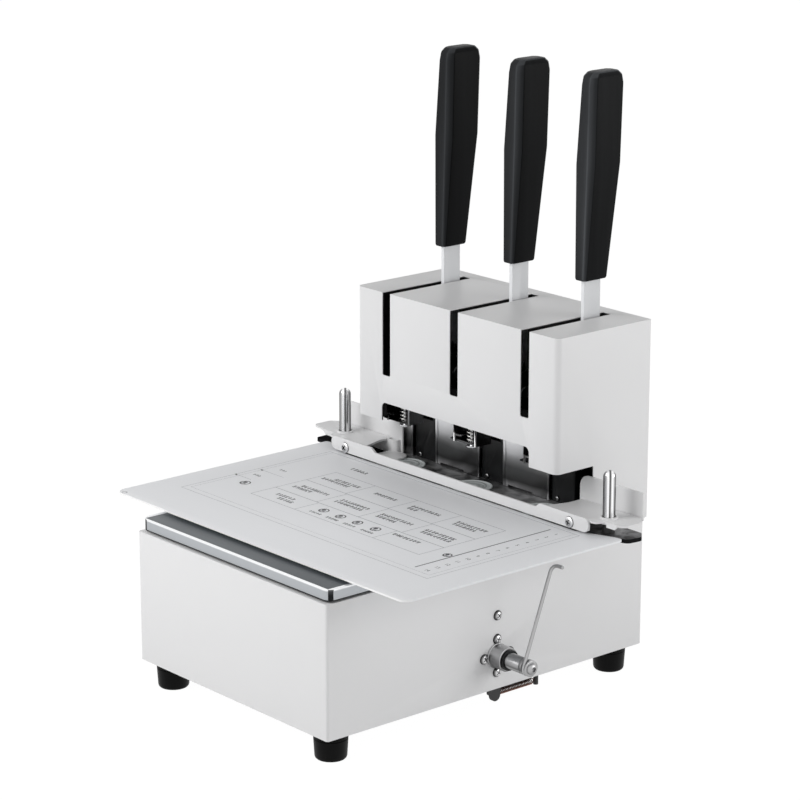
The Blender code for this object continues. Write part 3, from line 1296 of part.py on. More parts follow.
def build_side_arm():
    pivot = joint_point("side_arm_pivot", (BASE_WIDTH / 2, ARM_Y, ARM_Z))
    shaft_start = TAIL_LEFT - SHEET
    length = SHAFT_END - shaft_start
    spigot = SPIGOT_END - shaft_start
    bore_end = spigot - ARM_SHANK_LENGTH
    bore = ARM_SHANK_RADIUS + GAP
    shaft = turned("arm_shaft", [
        (bore, spigot), (SPIGOT_RADIUS, spigot), (SPIGOT_RADIUS, length), (SHAFT_RADIUS, length),
        (SHAFT_RADIUS, 0), (0, 0), (0, bore_end), (bore, bore_end)],
        ZINC, Matrix.Translation((shaft_start, ARM_Y, ARM_Z)) @ TO_X)
    pin_y, pin_z = tail_pin_place()
    side = Vector((pin_y - ARM_Y, pin_z - ARM_Z)).normalized()
    heading = math.atan2(side.y, side.x)
    tail_outline = arc((ARM_Y, ARM_Z), TAIL_HUB_RADIUS, heading + math.pi / 3, heading + math.tau - math.pi / 3,
                       SIDES)
    tail_outline += arc((pin_y, pin_z), TAIL_END_RADIUS, heading - math.pi / 2, heading + math.pi / 2,
                        SIDES_SMALL)
    tail = plate("tail", [tail_outline], TAIL_LEFT, TAIL_LEFT + TAIL_THICKNESS, "X", ZINC)
    pin = cylinder("pin", TAIL_PIN_RADIUS, (TAIL_PIN_LEFT, pin_y, pin_z),
                   (TAIL_LEFT + TAIL_THICKNESS / 2, pin_y, pin_z), ZINC, SIDES_SMALL)
    join(shaft, tail, pin)
    screw_end = SPIGOT_END + GAP
    arm_screw = turned("arm_screw", [
        (0, WASHER_THICKNESS + ARM_SCREW_HEAD),
        (ARM_SCREW_RADIUS * math.cos(math.pi / 4), WASHER_THICKNESS + ARM_SCREW_HEAD),
        (ARM_SCREW_RADIUS, WASHER_THICKNESS + ARM_SCREW_HEAD / 2),
        (ARM_SCREW_RADIUS, WASHER_THICKNESS), (WASHER_RADIUS, WASHER_THICKNESS), (WASHER_RADIUS, 0),
        (ARM_SHANK_RADIUS, 0), (ARM_SHANK_RADIUS, GAP - ARM_SHANK_LENGTH + GAP),
        (0, GAP - ARM_SHANK_LENGTH + GAP)],
        CHROME, Matrix.Translation((screw_end, ARM_Y, ARM_Z)) @ TO_X)
    arm = wire("arm_wire", arm_points(), WIRE_RADIUS, ZINC, 2)
    hang_on(pivot, shaft, arm_screw, arm)


def arm_points():
    """Eye round the spigot, then the straight arm leaning back, then the tip bent outwards."""
    x = (SHAFT_END + SPIGOT_END) / 2
    eye = SPIGOT_RADIUS + GAP + WIRE_RADIUS
    leave = math.pi - ARM_LEAN
    points = []
    for step in range(EYE_STEPS + 1):
        angle = leave + EYE_TURN * (1 - step / EYE_STEPS)
        points.append((x, ARM_Y + eye * math.cos(angle), ARM_Z + eye * math.sin(angle)))
    foot_y = points[-1][1]
    foot_z = points[-1][2]
    run = (ARM_HEIGHT - WIRE_RADIUS - foot_z) / math.cos(ARM_LEAN)
    along = Vector((0, math.sin(ARM_LEAN), math.cos(ARM_LEAN)))
    corner = Vector((x, foot_y, foot_z)) + along * run
    outward = Vector((1, 0, 0))
    points.append(tuple(corner - along * (run / 2)))
    for step in range(BEND_STEPS + 1):
        turn = math.pi / 2 * step / BEND_STEPS
        rise = along * (BEND_RADIUS * (math.sin(turn) - 1))
        points.append(tuple(corner + rise + outward * (BEND_RADIUS * (1 - math.cos(turn)))))
    points.append(tuple(corner + outward * ARM_TIP_REACH))
    return points


def build_return_spring():
    """Tension spring lying along Y between the tail's pin and the floor's stud."""
    pin_y, pin_z = tail_pin_place()
    start = pin_y + TAIL_PIN_RADIUS + GAP
    end = RETURN_SPRING_BACK
    low = start + RETURN_LEG
    high = end - RETURN_LEG
    count = RETURN_CURLS * RETURN_CURL_POINTS
    points = [(RETURN_SPRING_X, start, pin_z), (RETURN_SPRING_X, start + RETURN_LEG / 2, pin_z)]
    for step in range(count + 1):
        turn = math.tau * step / RETURN_CURL_POINTS
        points.append((RETURN_SPRING_X + RETURN_COIL_RADIUS * math.sin(turn),
                       low + (high - low) * step / count,
                       pin_z + RETURN_COIL_RADIUS * math.cos(turn)))
    points += [(RETURN_SPRING_X, end - RETURN_LEG / 2, pin_z), (RETURN_SPRING_X, end, pin_z)]
    print("return_spring least gap", least_gap(points, RETURN_WIRE_RADIUS, RETURN_CURL_POINTS))
    wire("return_spring", points, RETURN_WIRE_RADIUS, COPPER_STEEL, 1)


build_cabinet()
build_floor()
build_feet()
build_slab()
build_table()
build_bed()
build_posts()
build_brackets()
build_stops()
build_columns()
build_axles()
build_hood()
build_cover()
build_levers()
build_carriers()
build_press()
build_boss()
build_side_arm()
build_return_spring()

print("parts", len([made for made in PARTS.objects if made.type == "MESH"]))
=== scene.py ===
# %% [markdown]
# # A desk binding machine, dressed on its CAD frame
# The machine stands a stack of paper on a table, presses it down with a white bar and drives three
# needles through it. Each needle hangs on a carrier, and each carrier is driven by its own lever.
# The CAD frame gives every size and every joint. This lesson gives it rounded edges, springs,
# screws, print and finishes, and lights it like a catalogue photograph.

# %% Load the frame
import json
import math

import bmesh
import bpy
from mathutils import Matrix, Vector


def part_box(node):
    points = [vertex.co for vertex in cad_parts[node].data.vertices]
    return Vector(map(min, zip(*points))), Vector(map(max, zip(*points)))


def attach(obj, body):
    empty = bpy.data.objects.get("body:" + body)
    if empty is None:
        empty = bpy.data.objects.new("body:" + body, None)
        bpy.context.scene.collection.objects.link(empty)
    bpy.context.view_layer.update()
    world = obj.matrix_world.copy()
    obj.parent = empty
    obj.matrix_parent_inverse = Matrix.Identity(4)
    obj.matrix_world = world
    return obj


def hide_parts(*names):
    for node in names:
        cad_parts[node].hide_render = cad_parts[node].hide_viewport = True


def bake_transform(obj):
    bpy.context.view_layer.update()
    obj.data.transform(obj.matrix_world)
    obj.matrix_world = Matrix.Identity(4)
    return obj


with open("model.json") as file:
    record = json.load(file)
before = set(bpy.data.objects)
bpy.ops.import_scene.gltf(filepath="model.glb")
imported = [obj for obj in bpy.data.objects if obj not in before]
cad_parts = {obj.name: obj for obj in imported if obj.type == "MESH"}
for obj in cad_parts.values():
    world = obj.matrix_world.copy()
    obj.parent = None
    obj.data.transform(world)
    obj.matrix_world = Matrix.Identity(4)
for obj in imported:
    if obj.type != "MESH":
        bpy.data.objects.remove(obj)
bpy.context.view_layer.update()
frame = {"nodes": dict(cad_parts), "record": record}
record = frame["record"]
BODY_OF = {node: body for body, nodes in record["behaviour"]["bodies"].items() for node in nodes}
SLOT_OF = {part["node"]: part["material_slot"] for part in record["subparts"]}

# %% [markdown]
# ## Millimetres from the cabinet's front
# A machine like this is drawn in millimetres. Shapes are therefore modelled in millimetres, with
# y counted from the cabinet's front face, and one matrix takes them to the frame's metres at the end.

# %% One matrix from drawing to frame
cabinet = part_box("base_cabinet")
MILLIMETRE = 0.001
TO_FRAME = Matrix.Translation((
    (cabinet[0].x + cabinet[1].x) / 2, cabinet[0].y, 0)) @ Matrix.Scale(MILLIMETRE, 4)


def span(node):
    """Lowest and highest corner of a CAD node in drawing millimetres."""
    low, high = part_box(node)
    return TO_FRAME.inverted() @ low, TO_FRAME.inverted() @ high


print("cabinet spans", [round(value, 1) for corner in span("base_cabinet") for value in corner])

# %% [markdown]
# ## Places that several pieces share
# Needles, posts, axles and the arm's shaft are read from the frame, so a dressed piece can't drift
# away from the joint that it belongs to. A second typed copy of a place is where drawings go wrong.

# %% Places read from the frame
def middle(node):
    """Centre of a CAD node in the drawing, to a tenth of a millimetre."""
    low, high = span(node)
    return Vector([round(value, 1) for value in (low + high) / 2])


STATIONS = {number: middle(f"needle_{number}").x for number in (1, 2, 3)}
NEEDLE_PITCH = STATIONS[3] - STATIONS[2]
NEEDLE_Y = middle("needle_2").y
POST = middle("guide_post_right")
AXLE = middle("lever_axle_2")
ARM = Vector((span("base_cabinet")[1].x, middle("side_boss").y, middle("side_boss").z))
CARRIER_FRONT = round(span("carrier_2")[0].y, 1)
SIDES_OF_MACHINE = {"left": -1, "right": 1}
print("needles at x", list(STATIONS.values()), "and y", round(NEEDLE_Y, 1))

# %% [markdown]
# ## Writing shaders as sums
# A shader formula reads best as a formula. `Value` wraps one number socket, so that `1 - grain * 0.2`
# adds the Math nodes by itself.

# %% A number socket that can be reckoned with
class Value:
    """One number socket. Sums and products on it add Math nodes to its tree."""

    def __init__(self, nodes, socket):
        self.nodes = nodes
        self.socket = socket

    def math(self, operation, *others):
        return self.nodes.number("ShaderNodeMath", {"operation": operation}, dict(enumerate((self, *others))))

    def __add__(self, other):
        return self.math("ADD", other)

    def __sub__(self, other):
        return self.math("SUBTRACT", other)

    def __mul__(self, other):
        return self.math("MULTIPLY", other)

    def __truediv__(self, other):
        return self.math("DIVIDE", other)

    def __rsub__(self, other):
        return (self * -1).math("ADD", other)

    __radd__ = __add__
    __rmul__ = __mul__


print("Value can", [name for name in ("add", "sub", "mul", "truediv") if hasattr(Value, f"__{name}__")])

# %% [markdown]
# Every other node comes from `Nodes.add`: its settings first, then its inputs. The methods after it
# are the few nodes that this machine needs again and again, for its shaders and its Geometry Nodes.

# %% A node tree that is filled by calls
class Nodes:
    """A node tree and the calls that fill it."""

    def __init__(self, tree):
        self.tree = tree

    def add(self, kind, settings=None, inputs=None):
        node = self.tree.nodes.new(kind)
        for name, value in (settings or {}).items():
            if name == "stops":
                self.set_stops(node.color_ramp, value)
            else:
                setattr(node, name, value)
        for name, value in (inputs or {}).items():
            self.feed(node.inputs[name], value)
        return node

    def feed(self, socket, value):
        if isinstance(value, Value):
            value = value.socket
        if isinstance(value, bpy.types.NodeSocket):
            self.tree.links.new(value, socket)
        else:
            socket.default_value = value

    def number(self, kind, settings=None, inputs=None, output=0):
        return Value(self, self.add(kind, settings, inputs).outputs[output])

    def split(self, vector):
        """The x, y and z of a vector socket."""
        parts = self.add("ShaderNodeSeparateXYZ", {}, {0: vector}).outputs
        return [Value(self, part) for part in parts]

    def vector(self, x=0.0, y=0.0, z=0.0):
        return self.add("ShaderNodeCombineXYZ", {}, {0: x, 1: y, 2: z}).outputs[0]

    def blended(self, amount, first, second, blend_type="MIX"):
        """Colour between two; each is a plain shade or a colour socket."""
        first, second = ((*entry, 1.0) if isinstance(entry, tuple) else entry for entry in (first, second))
        settings = {"data_type": "RGBA", "blend_type": blend_type}
        return self.add("ShaderNodeMix", settings, {0: amount, 6: first, 7: second}).outputs[2]

    def ramp(self, amount, stops):
        return self.add("ShaderNodeValToRGB", {"stops": stops}, {0: amount}).outputs[0]

    @staticmethod
    def set_stops(ramp, stops):
        while len(ramp.elements) < len(stops):
            ramp.elements.new(1.0)
        for element, (position, color) in zip(ramp.elements, stops):
            element.position = position
            element.color = (*color, 1.0)


print("Nodes can", [name for name in vars(Nodes) if not name.startswith("_")])

# %% [markdown]
# ## Finishes
# Every finish starts from one Principled shader. The steady values are set on its sockets. Only what
# really changes over the surface is linked: colour, roughness, metal and bump.

# %% A finish from a recipe
class Finish(Nodes):
    """Principled material whose patterns lie on Object coordinates, in metres."""

    def __init__(self, name, color, roughness, metallic=0.0, specular=0.5):
        self.material = bpy.data.materials.new(name)
        self.material.use_nodes = True
        super().__init__(self.material.node_tree)
        self.sockets = self.tree.nodes["Principled BSDF"].inputs
        self.sockets["Base Color"].default_value = (*color, 1.0)
        self.sockets["Roughness"].default_value = roughness
        self.sockets["Metallic"].default_value = metallic
        self.sockets["Specular IOR Level"].default_value = specular
        self.place = self.add("ShaderNodeTexCoord").outputs["Object"]

    def where(self):
        """The x, y and z of a place on the piece, in metres."""
        return self.split(self.place)

    def facing(self):
        """The x, y and z of the surface normal: how far a face looks right, back and up."""
        return self.split(self.add("ShaderNodeNewGeometry").outputs["Normal"])

    def noise(self, scale, detail=2.0, stretch=(1, 1, 1), distortion=0.0):
        """Noise from 0 to 1; scale is in cells per metre, and stretch multiplies it by axis."""
        place = self.add("ShaderNodeMapping", {}, {"Vector": self.place, "Scale": stretch}).outputs[0]
        return self.number("ShaderNodeTexNoise", {}, {
            "Vector": place, "Scale": scale, "Detail": detail, "Distortion": distortion})

    def color(self, value):
        self.feed(self.sockets["Base Color"], value)

    def tint(self, amount, dark, light):
        """Base colour between two shades."""
        self.color(self.blended(amount, dark, light))

    def rough(self, amount):
        self.feed(self.sockets["Roughness"], amount)

    def metal(self, amount):
        self.feed(self.sockets["Metallic"], amount)

    def bump(self, height, strength, distance):
        self.feed(self.sockets["Normal"], self.add("ShaderNodeBump", {}, {
            "Strength": strength, "Distance": distance, "Height": height}).outputs[0])

    def done(self):
        print(self.material.name, "has", len(self.tree.nodes), "nodes")
        return self.material


def shade(color, factor):
    return tuple(min(1.0, value * factor) for value in color)


def greys(*pairs):
    """Ramp stops in grey from (position, value) pairs."""
    return [(position, (value, value, value * 1.01)) for position, value in pairs]


# %% [markdown]
# ### Paint
# Powder coat is never dead flat: it has a fine orange peel of a millimetre or so, and the gloss
# wanders a little over the sheet. Both are noise, one small and one wide. A scanned image could
# show the same, but noise has no seams and no end.

# %% Powder coats
CLOUD, PEEL, GRAIN = 9, 750, 1400
PEEL_DEPTH = 0.00012


def orange_peel(finish, strength):
    """Bump of sprayed and baked powder; returns its finest grain."""
    grain = finish.noise(GRAIN)
    finish.bump(finish.noise(PEEL) + grain * 0.35, strength, PEEL_DEPTH)
    return grain


def powder_coat(name, color, roughness, peel=0.10, specular=0.5):
    finish = Finish(name, color, roughness, specular=specular)
    wide = finish.noise(CLOUD, 3)
    grain = orange_peel(finish, peel)
    finish.tint(wide * 0.7 + grain * 0.3, shade(color, 0.982), shade(color, 1.012))
    finish.rough(roughness - 0.05 + wide * 0.10)
    return finish.done()


WHITE = (0.80, 0.80, 0.805)
WHITE_PAINT = powder_coat("white_paint", WHITE, 0.42)
BLACK_FINISH = powder_coat("black_finish", (0.006, 0.0065, 0.007), 0.36, peel=0.12, specular=0.25)

# %% [markdown]
# The table is thin sheet, and its cut front edge catches more light than its face, so it gets a
# painted highlight. The front part of the surface normal finds that edge.

# %% Paint of the table
def table_paint(face, edge_highlight):
    finish = Finish("table_paint", face, 0.5)
    back = finish.facing()[1]
    finish.tint((back * -1.6).math("MAXIMUM", 0), face, edge_highlight)
    grain = orange_peel(finish, 0.06)
    finish.rough(0.47 + grain * 0.06)
    return finish.done()


TABLE_PAINT = table_paint((0.875, 0.885, 0.905), (0.99, 0.99, 0.99))

# %% [markdown]
# In the studio the tops of the white sheets are a little darker than their walls, and the fronts of
# the lever strips are brighter than their sides. Both are painted light, a painted shade on the tops
# and a painted highlight on the fronts, and both follow the normal. Lamps alone could do this too,
# but each lamp would change every other piece as well.

# %% Paint with painted light that follows the faces
PAINTED_LEVEL_SHADE = 0.86
PAINT_ROUGHNESS = 0.39


def by_face(finish, color, level, front):
    """Colour with one painted-light factor for its level faces and one for its front faces."""
    _, back, up = finish.facing()
    result = color
    for amount, factor in ((up, level), (back * -1, front)):
        result = finish.blended(amount.math("MAXIMUM", 0), result, shade(color, factor))
    return result


def strip_paint(color, front):
    finish = Finish("strip_paint", color, PAINT_ROUGHNESS)
    finish.color(by_face(finish, color, PAINTED_LEVEL_SHADE, front))
    finish.bump(finish.noise(PEEL), 0.10, PEEL_DEPTH)
    return finish.done()


# The strips are white paint: their sides are painted darker as shade, and their fronts get a painted
# highlight.
STRIP_PAINT = strip_paint((0.68, 0.69, 0.705), 1.35)

# %% [markdown]
# The hood is white outside, and inside it gets a painted shade, as dark as the shadow in its slots
# and openings. One sheet carries both, so the finish measures how deep a place lies under the skin
# of the hood's box. The back cover's box reaches past its sheet on every side but the back, so only
# its back is white and the rest gets the painted shade.

# %% Paint with a painted shade inside
# Painted shade for all that lies deeper than the skin.
INSIDE_SHADE = (0.004, 0.004, 0.004)
SKIN_DEPTH = 0.0006


def lined_paint(name, color, low, high, corner):
    """Paint on the skin of a box with round upright corners; what lies deeper gets a painted shade."""
    finish = Finish(name, color, PAINT_ROUGHNESS)
    low, high = TO_FRAME @ Vector(low), TO_FRAME @ Vector(high)
    centre, half = (low + high) / 2, (high - low) / 2
    x, y, z = finish.where()
    past_x = ((x - centre.x).math("ABSOLUTE") - (half.x - corner)).math("MAXIMUM", 0)
    past_y = ((y - centre.y).math("ABSOLUTE") - (half.y - corner)).math("MAXIMUM", 0)
    from_side = corner - (past_x * past_x + past_y * past_y).math("SQRT")
    inside = from_side.math("MINIMUM", high.z - z).math("GREATER_THAN", SKIN_DEPTH)
    finish.tint(inside, by_face(finish, color, PAINTED_LEVEL_SHADE, 1.0), INSIDE_SHADE)
    finish.rough(PAINT_ROUGHNESS + inside * 0.2)
    finish.bump(finish.noise(PEEL), 0.10, PEEL_DEPTH)
    return finish.done()


HOOD_SIDE = 115.6
PAST_COVER_SIDE, PAST_COVER_TOP, BEFORE_COVER = 118, 286, 150
hood_low, hood_high = span("hood")
cover_back = span("back_cover")[1].y
HOOD_PAINT = lined_paint(
    "hood_paint", WHITE, (-HOOD_SIDE, hood_low.y, hood_low.z), (HOOD_SIDE, hood_high.y, hood_high.z), 0.005)
COVER_PAINT = lined_paint(
    "cover_paint", WHITE, (-PAST_COVER_SIDE, BEFORE_COVER, hood_low.z),
    (PAST_COVER_SIDE, cover_back, PAST_COVER_TOP), 0.001)

# %% [markdown]
# ### Metals
# Brushed sheet shows fine lines in one direction. The noise is squeezed across the lines and
# stretched along them, and it changes the roughness and the bump far more than the colour.

# %% Brushed and turned steel
def brushed(name, color, roughness, stretch, contrast, strength):
    finish = Finish(name, color, roughness, 1.0)
    lines = finish.noise(60, 4, stretch)
    patches = finish.noise(22, 3)
    finish.tint(lines * 0.6 + patches * 0.4, shade(color, 1 - contrast), shade(color, 1 + contrast))
    finish.rough(roughness - 0.07 + lines * 0.09 + patches * 0.07)
    finish.bump(lines, strength, 0.00008)
    return finish.done()


DARK_STEEL = brushed(
    "dark_steel", (0.10, 0.10, 0.105), 0.26, stretch=(30, 0.7, 1), contrast=0.16, strength=0.06)
CHROME = brushed(
    "chrome", (0.78, 0.78, 0.79), 0.13, stretch=(40, 40, 3), contrast=0.03, strength=0.015)
SPRING_STEEL = brushed(
    "spring_steel", (0.70, 0.69, 0.67), 0.20, stretch=(30, 30, 30), contrast=0.06, strength=0.03)

# %% [markdown]
# The stop plates stand upright behind the bed and mirror it in their lower half, and the dark
# drives in their upper part. Real mirroring of so small a place is noisy, so a colour ramp over the
# height gives the same soft bands.

# %% Stop plates with the bed's mirror image
def by_height(name, stops, low, high, roughness):
    """Brushed sheet whose shade follows the height between two levels."""
    finish = Finish(name, (0.5, 0.5, 0.5), roughness, 1.0)
    z = finish.where()[2]
    lines = finish.noise(60, 4, (0.6, 1, 60))
    height = (z - low) / (high - low) + finish.noise(30) * 0.10 - 0.05
    finish.color(finish.ramp(height, stops))
    finish.rough(roughness - 0.04 + lines * 0.08)
    finish.bump(lines, 0.05, 0.00006)
    return finish.done()


stop_low, stop_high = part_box("stop_plate_left")
STAINLESS = by_height("stainless", greys(
    (0, 0.42), (0.05, 0.30), (0.11, 0.07), (0.17, 0.13), (0.26, 0.22), (0.32, 0.45), (0.42, 0.80),
    (0.55, 0.95), (0.61, 0.95), (0.67, 0.02), (1, 0.02)), stop_low.z, stop_high.z, 0.30)

# %% [markdown]
# Polished and plated pieces mirror the studio as light and dark stripes, here a painted reflection:
# the angle between the normal and one direction picks the stripe from a ramp. Where a piece dips
# into a dark place, such as a post's foot, a painted shade makes it black below a height.

# %% Plated metals that mirror a striped room
# Painted shade for the parts of a piece that lie in a dark place.
PAINTED_SHADE_BLACK = (0.012, 0.012, 0.012)


def by_normal(name, direction, stops, roughness, shaded_below=None):
    """Metal with a painted reflection that follows its normal along a direction, and a painted shade below a
    height.
    """
    finish = Finish(name, (0.5, 0.5, 0.5), roughness, 1.0)
    normal = finish.add("ShaderNodeNewGeometry").outputs["Normal"]
    along = finish.number("ShaderNodeVectorMath", {"operation": "DOT_PRODUCT"}, {0: normal, 1: direction}, 1)
    color = finish.ramp(along * 0.5 + 0.5, stops)
    rough = roughness - 0.02 + finish.noise(120) * 0.04
    if shaded_below:
        low = finish.where()[2].math("LESS_THAN", shaded_below)
        color = finish.blended(low, color, PAINTED_SHADE_BLACK)
        rough = rough + low * 0.3
        finish.metal(1 - low)
    finish.color(color)
    finish.rough(rough)
    return finish.done()


POST_CHROME = by_normal("post_chrome", (0.652, 0.758, 0), greys(
    (0, 0.10), (0.08, 0.20), (0.22, 0.50), (0.32, 1.0), (0.42, 0.95), (0.48, 0.10), (0.55, 0.09),
    (0.63, 0.75), (0.72, 1.0), (0.84, 0.45), (0.92, 0.12), (1, 0.08)), 0.16, shaded_below=0.1462)

# %% [markdown]
# The side arm's pieces are lit from above and in front, so their painted reflections share one
# direction. The return spring under the floor is wound from a wire with a coppery plating: the
# coppery hue is its own, and its shading by the normal is painted.

# %% Metals of the side arm
FROM_ABOVE = (0, -0.35, 0.94)
BOSS_ZINC = by_normal("boss_zinc", FROM_ABOVE, greys(
    (0, 0.05), (0.25, 0.12), (0.5, 0.26), (0.72, 0.36), (0.86, 0.55), (1, 0.42)), 0.34)
SHAFT_STEEL = by_normal("shaft_steel", FROM_ABOVE, greys(
    (0, 0.03), (0.2, 0.08), (0.42, 0.30), (0.55, 0.12), (0.7, 0.35), (0.85, 0.50), (1, 0.25)), 0.30,
    shaded_below=0.034)
ZINC = by_normal("zinc", FROM_ABOVE, greys(
    (0, 0.16), (0.3, 0.26), (0.6, 0.42), (1, 0.48)), 0.36, shaded_below=0.0200)
COPPER_STEEL = by_normal("copper_steel", (0, -0.6, 0.8), [
    (0, (0.50, 0.30, 0.24)), (0.3, (0.34, 0.17, 0.12)), (0.55, (0.05, 0.025, 0.02)),
    (1, (0.02, 0.012, 0.01))], 0.34)

# %% [markdown]
# Screw heads are small and domed, so their painted reflection leaves most of a head dark and only
# its crown bright. The direction is the one in which the screw points.

# %% Metals of the screws
SIDE_SCREW = by_normal("side_screw", (1, 0, 0), greys(
    (0.5, 0.015), (0.75, 0.04), (0.88, 0.12), (0.95, 0.40), (1, 0.75)), 0.22)
FRONT_SCREW = by_normal("front_screw", (0, -1, 0), greys(
    (0.5, 0.02), (0.68, 0.04), (0.82, 0.5), (0.9, 1.0), (1, 0.5)), 0.2)
DULL_SCREW = by_normal("dull_screw", (0, -1, 0), greys(
    (0.5, 0.01), (0.8, 0.03), (0.93, 0.25), (1, 0.12)), 0.3)

# %% [markdown]
# The bed is blued steel, and heat leaves clouds on it. Its left wing lies under a shadow and its
# edges in shade, so both get a painted shadow and are nearly black, and its right wing gets a
# lighter painted shade.

# %% Bed
LEFT_WING_FROM, RIGHT_WING_FROM = -0.110, 0.131


def bed_finish():
    """Blued steel with clouds on its top, and painted shadow on its left wing, its edges and its right wing.
    """
    finish = Finish("bed_steel", (0.2, 0.2, 0.2), 0.3, metallic=0.7, specular=0.0)
    x = finish.where()[0]
    clouds = finish.noise(90, 4, distortion=0.6)
    wide = finish.noise(25)
    shaded_right_wing = x.math("GREATER_THAN", RIGHT_WING_FROM)
    top = finish.facing()[2].math("GREATER_THAN", 0.8)
    unshadowed_top = x.math("GREATER_THAN", LEFT_WING_FROM) * top
    # Painted shadow: only the lit top keeps the clouds, and the right wing is painted a little darker.
    amount = (clouds * 1.6 + wide * 0.8 - 0.80 - shaded_right_wing * 0.15) * unshadowed_top
    finish.tint(amount, (0.014, 0.014, 0.015), (0.62, 0.62, 0.63))
    finish.metal(unshadowed_top * 0.7)
    finish.rough(0.24 + clouds * 0.14)
    finish.bump(clouds, 0.06, 0.0001)
    return finish.done()


BED_STEEL = bed_finish()

# %% [markdown]
# The carriers are dark steel, and the cut edges of their lips and of their right walls, which catch
# the light, get a painted highlight. `WRAP` repeats one carrier's rule at every needle.

# %% Needle carriers
LIP_TOP = 0.1812
EDGE_DEPTH = 0.0012
RIGHT_WALL_FROM = 0.006


def carrier_finish(front, pitch):
    finish = Finish("carrier_steel", (0.1, 0.1, 0.1), 0.3, 1.0)
    x, y, z = finish.where()
    right = (x - front.x).math("WRAP", pitch / 2, -pitch / 2).math("GREATER_THAN", RIGHT_WALL_FROM)
    # cut marks the front edges that get the painted highlight.
    cut = y.math("LESS_THAN", front.y + EDGE_DEPTH) * right.math("MAXIMUM", z.math("LESS_THAN", LIP_TOP))
    lines = finish.noise(60, 4, (30, 30, 0.8))
    finish.tint(cut * 0.9 + lines * 0.1, (0.035, 0.035, 0.037), (1.0, 1.0, 1.0))
    finish.rough(0.24 + lines * 0.1)
    finish.bump(lines, 0.08, 0.0001)
    return finish.done()


CARRIER_STEEL = carrier_finish(
    TO_FRAME @ Vector((STATIONS[2], CARRIER_FRONT, 0)), NEEDLE_PITCH * MILLIMETRE)

# %% [markdown]
# ### Deck slab
# Seen from above the slab is a dark slate colour, and its edge is polished trim. One material makes
# both: the height part of the surface normal says which face it is on. The trim gets a painted
# highlight along its top and a painted shadow along its foot, over the shadow gap. It is dark where
# it turns round the corners and on its left: a painted reflection of the room's dark side.

# %% Deck slab finish
TRIM_HEIGHT, TRIM_FOOT = 0.0031, 0.0019
TRIM_SHADE_AND_DARK_REFLECTION = (0.008, 0.009, 0.010)


def deck_finish(low, high, rim):
    finish = Finish("slab_finish", (0.16, 0.18, 0.20), 0.34, 0.6)
    across, _, up = finish.facing()
    x, y, z = finish.where()
    centre = (low + high) / 2
    within = (high.x - centre.x - rim - (x - centre.x).math("ABSOLUTE")).math("MINIMUM", y - (low.y + rim))
    top = within.math("GREATER_THAN", 0) * up.math("GREATER_THAN", 0.92)
    grain = finish.noise(420, 3)
    wide = finish.noise(14, 2, (1, 3, 1))
    slate = finish.blended(grain * 0.4 + wide * 0.6, (0.055, 0.064, 0.072), (0.125, 0.14, 0.15))
    # Painted reflection: the trim is dark round the front corners and on its left side.
    front_corner = across.math("GREATER_THAN", 0.62) * across.math("LESS_THAN", 0.97)
    dark = front_corner.math("MAXIMUM", across.math("LESS_THAN", -0.08)) * (1 - up)
    # Painted shadow along the trim's foot, over the shadow gap.
    below = z.math("LESS_THAN", low.z + TRIM_FOOT)
    # Painted highlight along the trim's top edge.
    edge_highlight = (z - (high.z - TRIM_HEIGHT)) * 900 + finish.noise(160, 3, (1, 1, 2)) * 0.35
    face = finish.blended(edge_highlight, (0.44, 0.46, 0.48), (0.95, 0.96, 0.97))
    trim = finish.blended(dark.math("MAXIMUM", below), face, TRIM_SHADE_AND_DARK_REFLECTION)
    finish.tint(top, trim, slate)
    finish.rough(0.30 + top * 0.12 + grain * 0.05)
    finish.metal(0.8 - top * 0.5)
    finish.bump(grain, 0.03, 0.00004)
    return finish.done()


SLAB_FINISH = deck_finish(*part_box("slab_plate"), 0.0016)

# %% [markdown]
# ### Plastics and rubber
# The grips are moulded in a black plastic with a fine spark-eroded texture. Their facets get a painted
# shade and highlight by the way they face: a ramp over the sideways normal sets each facet's shade. A
# painted light makes the grips lighter towards the right, and faint upright streaks show where the
# plastic flowed in the mould.

# %% Grips
def grip_finish():
    finish = Finish("grip_plastic", (0.01, 0.01, 0.01), 0.36, specular=0.04)
    across = finish.facing()[0]
    x = finish.where()[0]
    facets = finish.ramp(across * 0.5 + 0.5, greys(
        (0, 0.010), (0.45, 0.022), (0.52, 0.028), (0.60, 0.060), (0.80, 0.060), (0.86, 0.026),
        (0.93, 0.010), (1, 0.006)))
    streaks = finish.noise(150, 2, (1, 1, 0.05))
    # Painted light: lighter towards the right; the streaks are the plastic's own.
    glow = (x * 3 + 1) * (0.55 + streaks * 0.9)
    finish.color(finish.blended(1.0, facets, finish.vector(glow * 0.95, glow, glow * 1.06), "MULTIPLY"))
    grain = finish.noise(2200, 3)
    finish.rough(0.32 + grain * 0.1)
    finish.bump(grain, 0.12, 0.00008)
    return finish.done()


GRIP_PLASTIC = grip_finish()

# %% [markdown]
# The feet are rubber, which is matt and slightly dusty. Printing ink is a flat, matt film. Both are
# the same recipe: a wide cloud and a fine grain around one shade.

# %% Rubber and ink
def moulded(name, color, roughness, scale, strength, spread, specular=0.5):
    finish = Finish(name, color, roughness, specular=specular)
    grain = finish.noise(scale, 3)
    wide = finish.noise(18, 3)
    finish.tint(grain * 0.4 + wide * 0.6, shade(color, 1 - spread), shade(color, 1 + spread))
    finish.rough(roughness - 0.06 + wide * 0.07 + grain * 0.06)
    finish.bump(grain, strength, 0.00015)
    return finish.done()


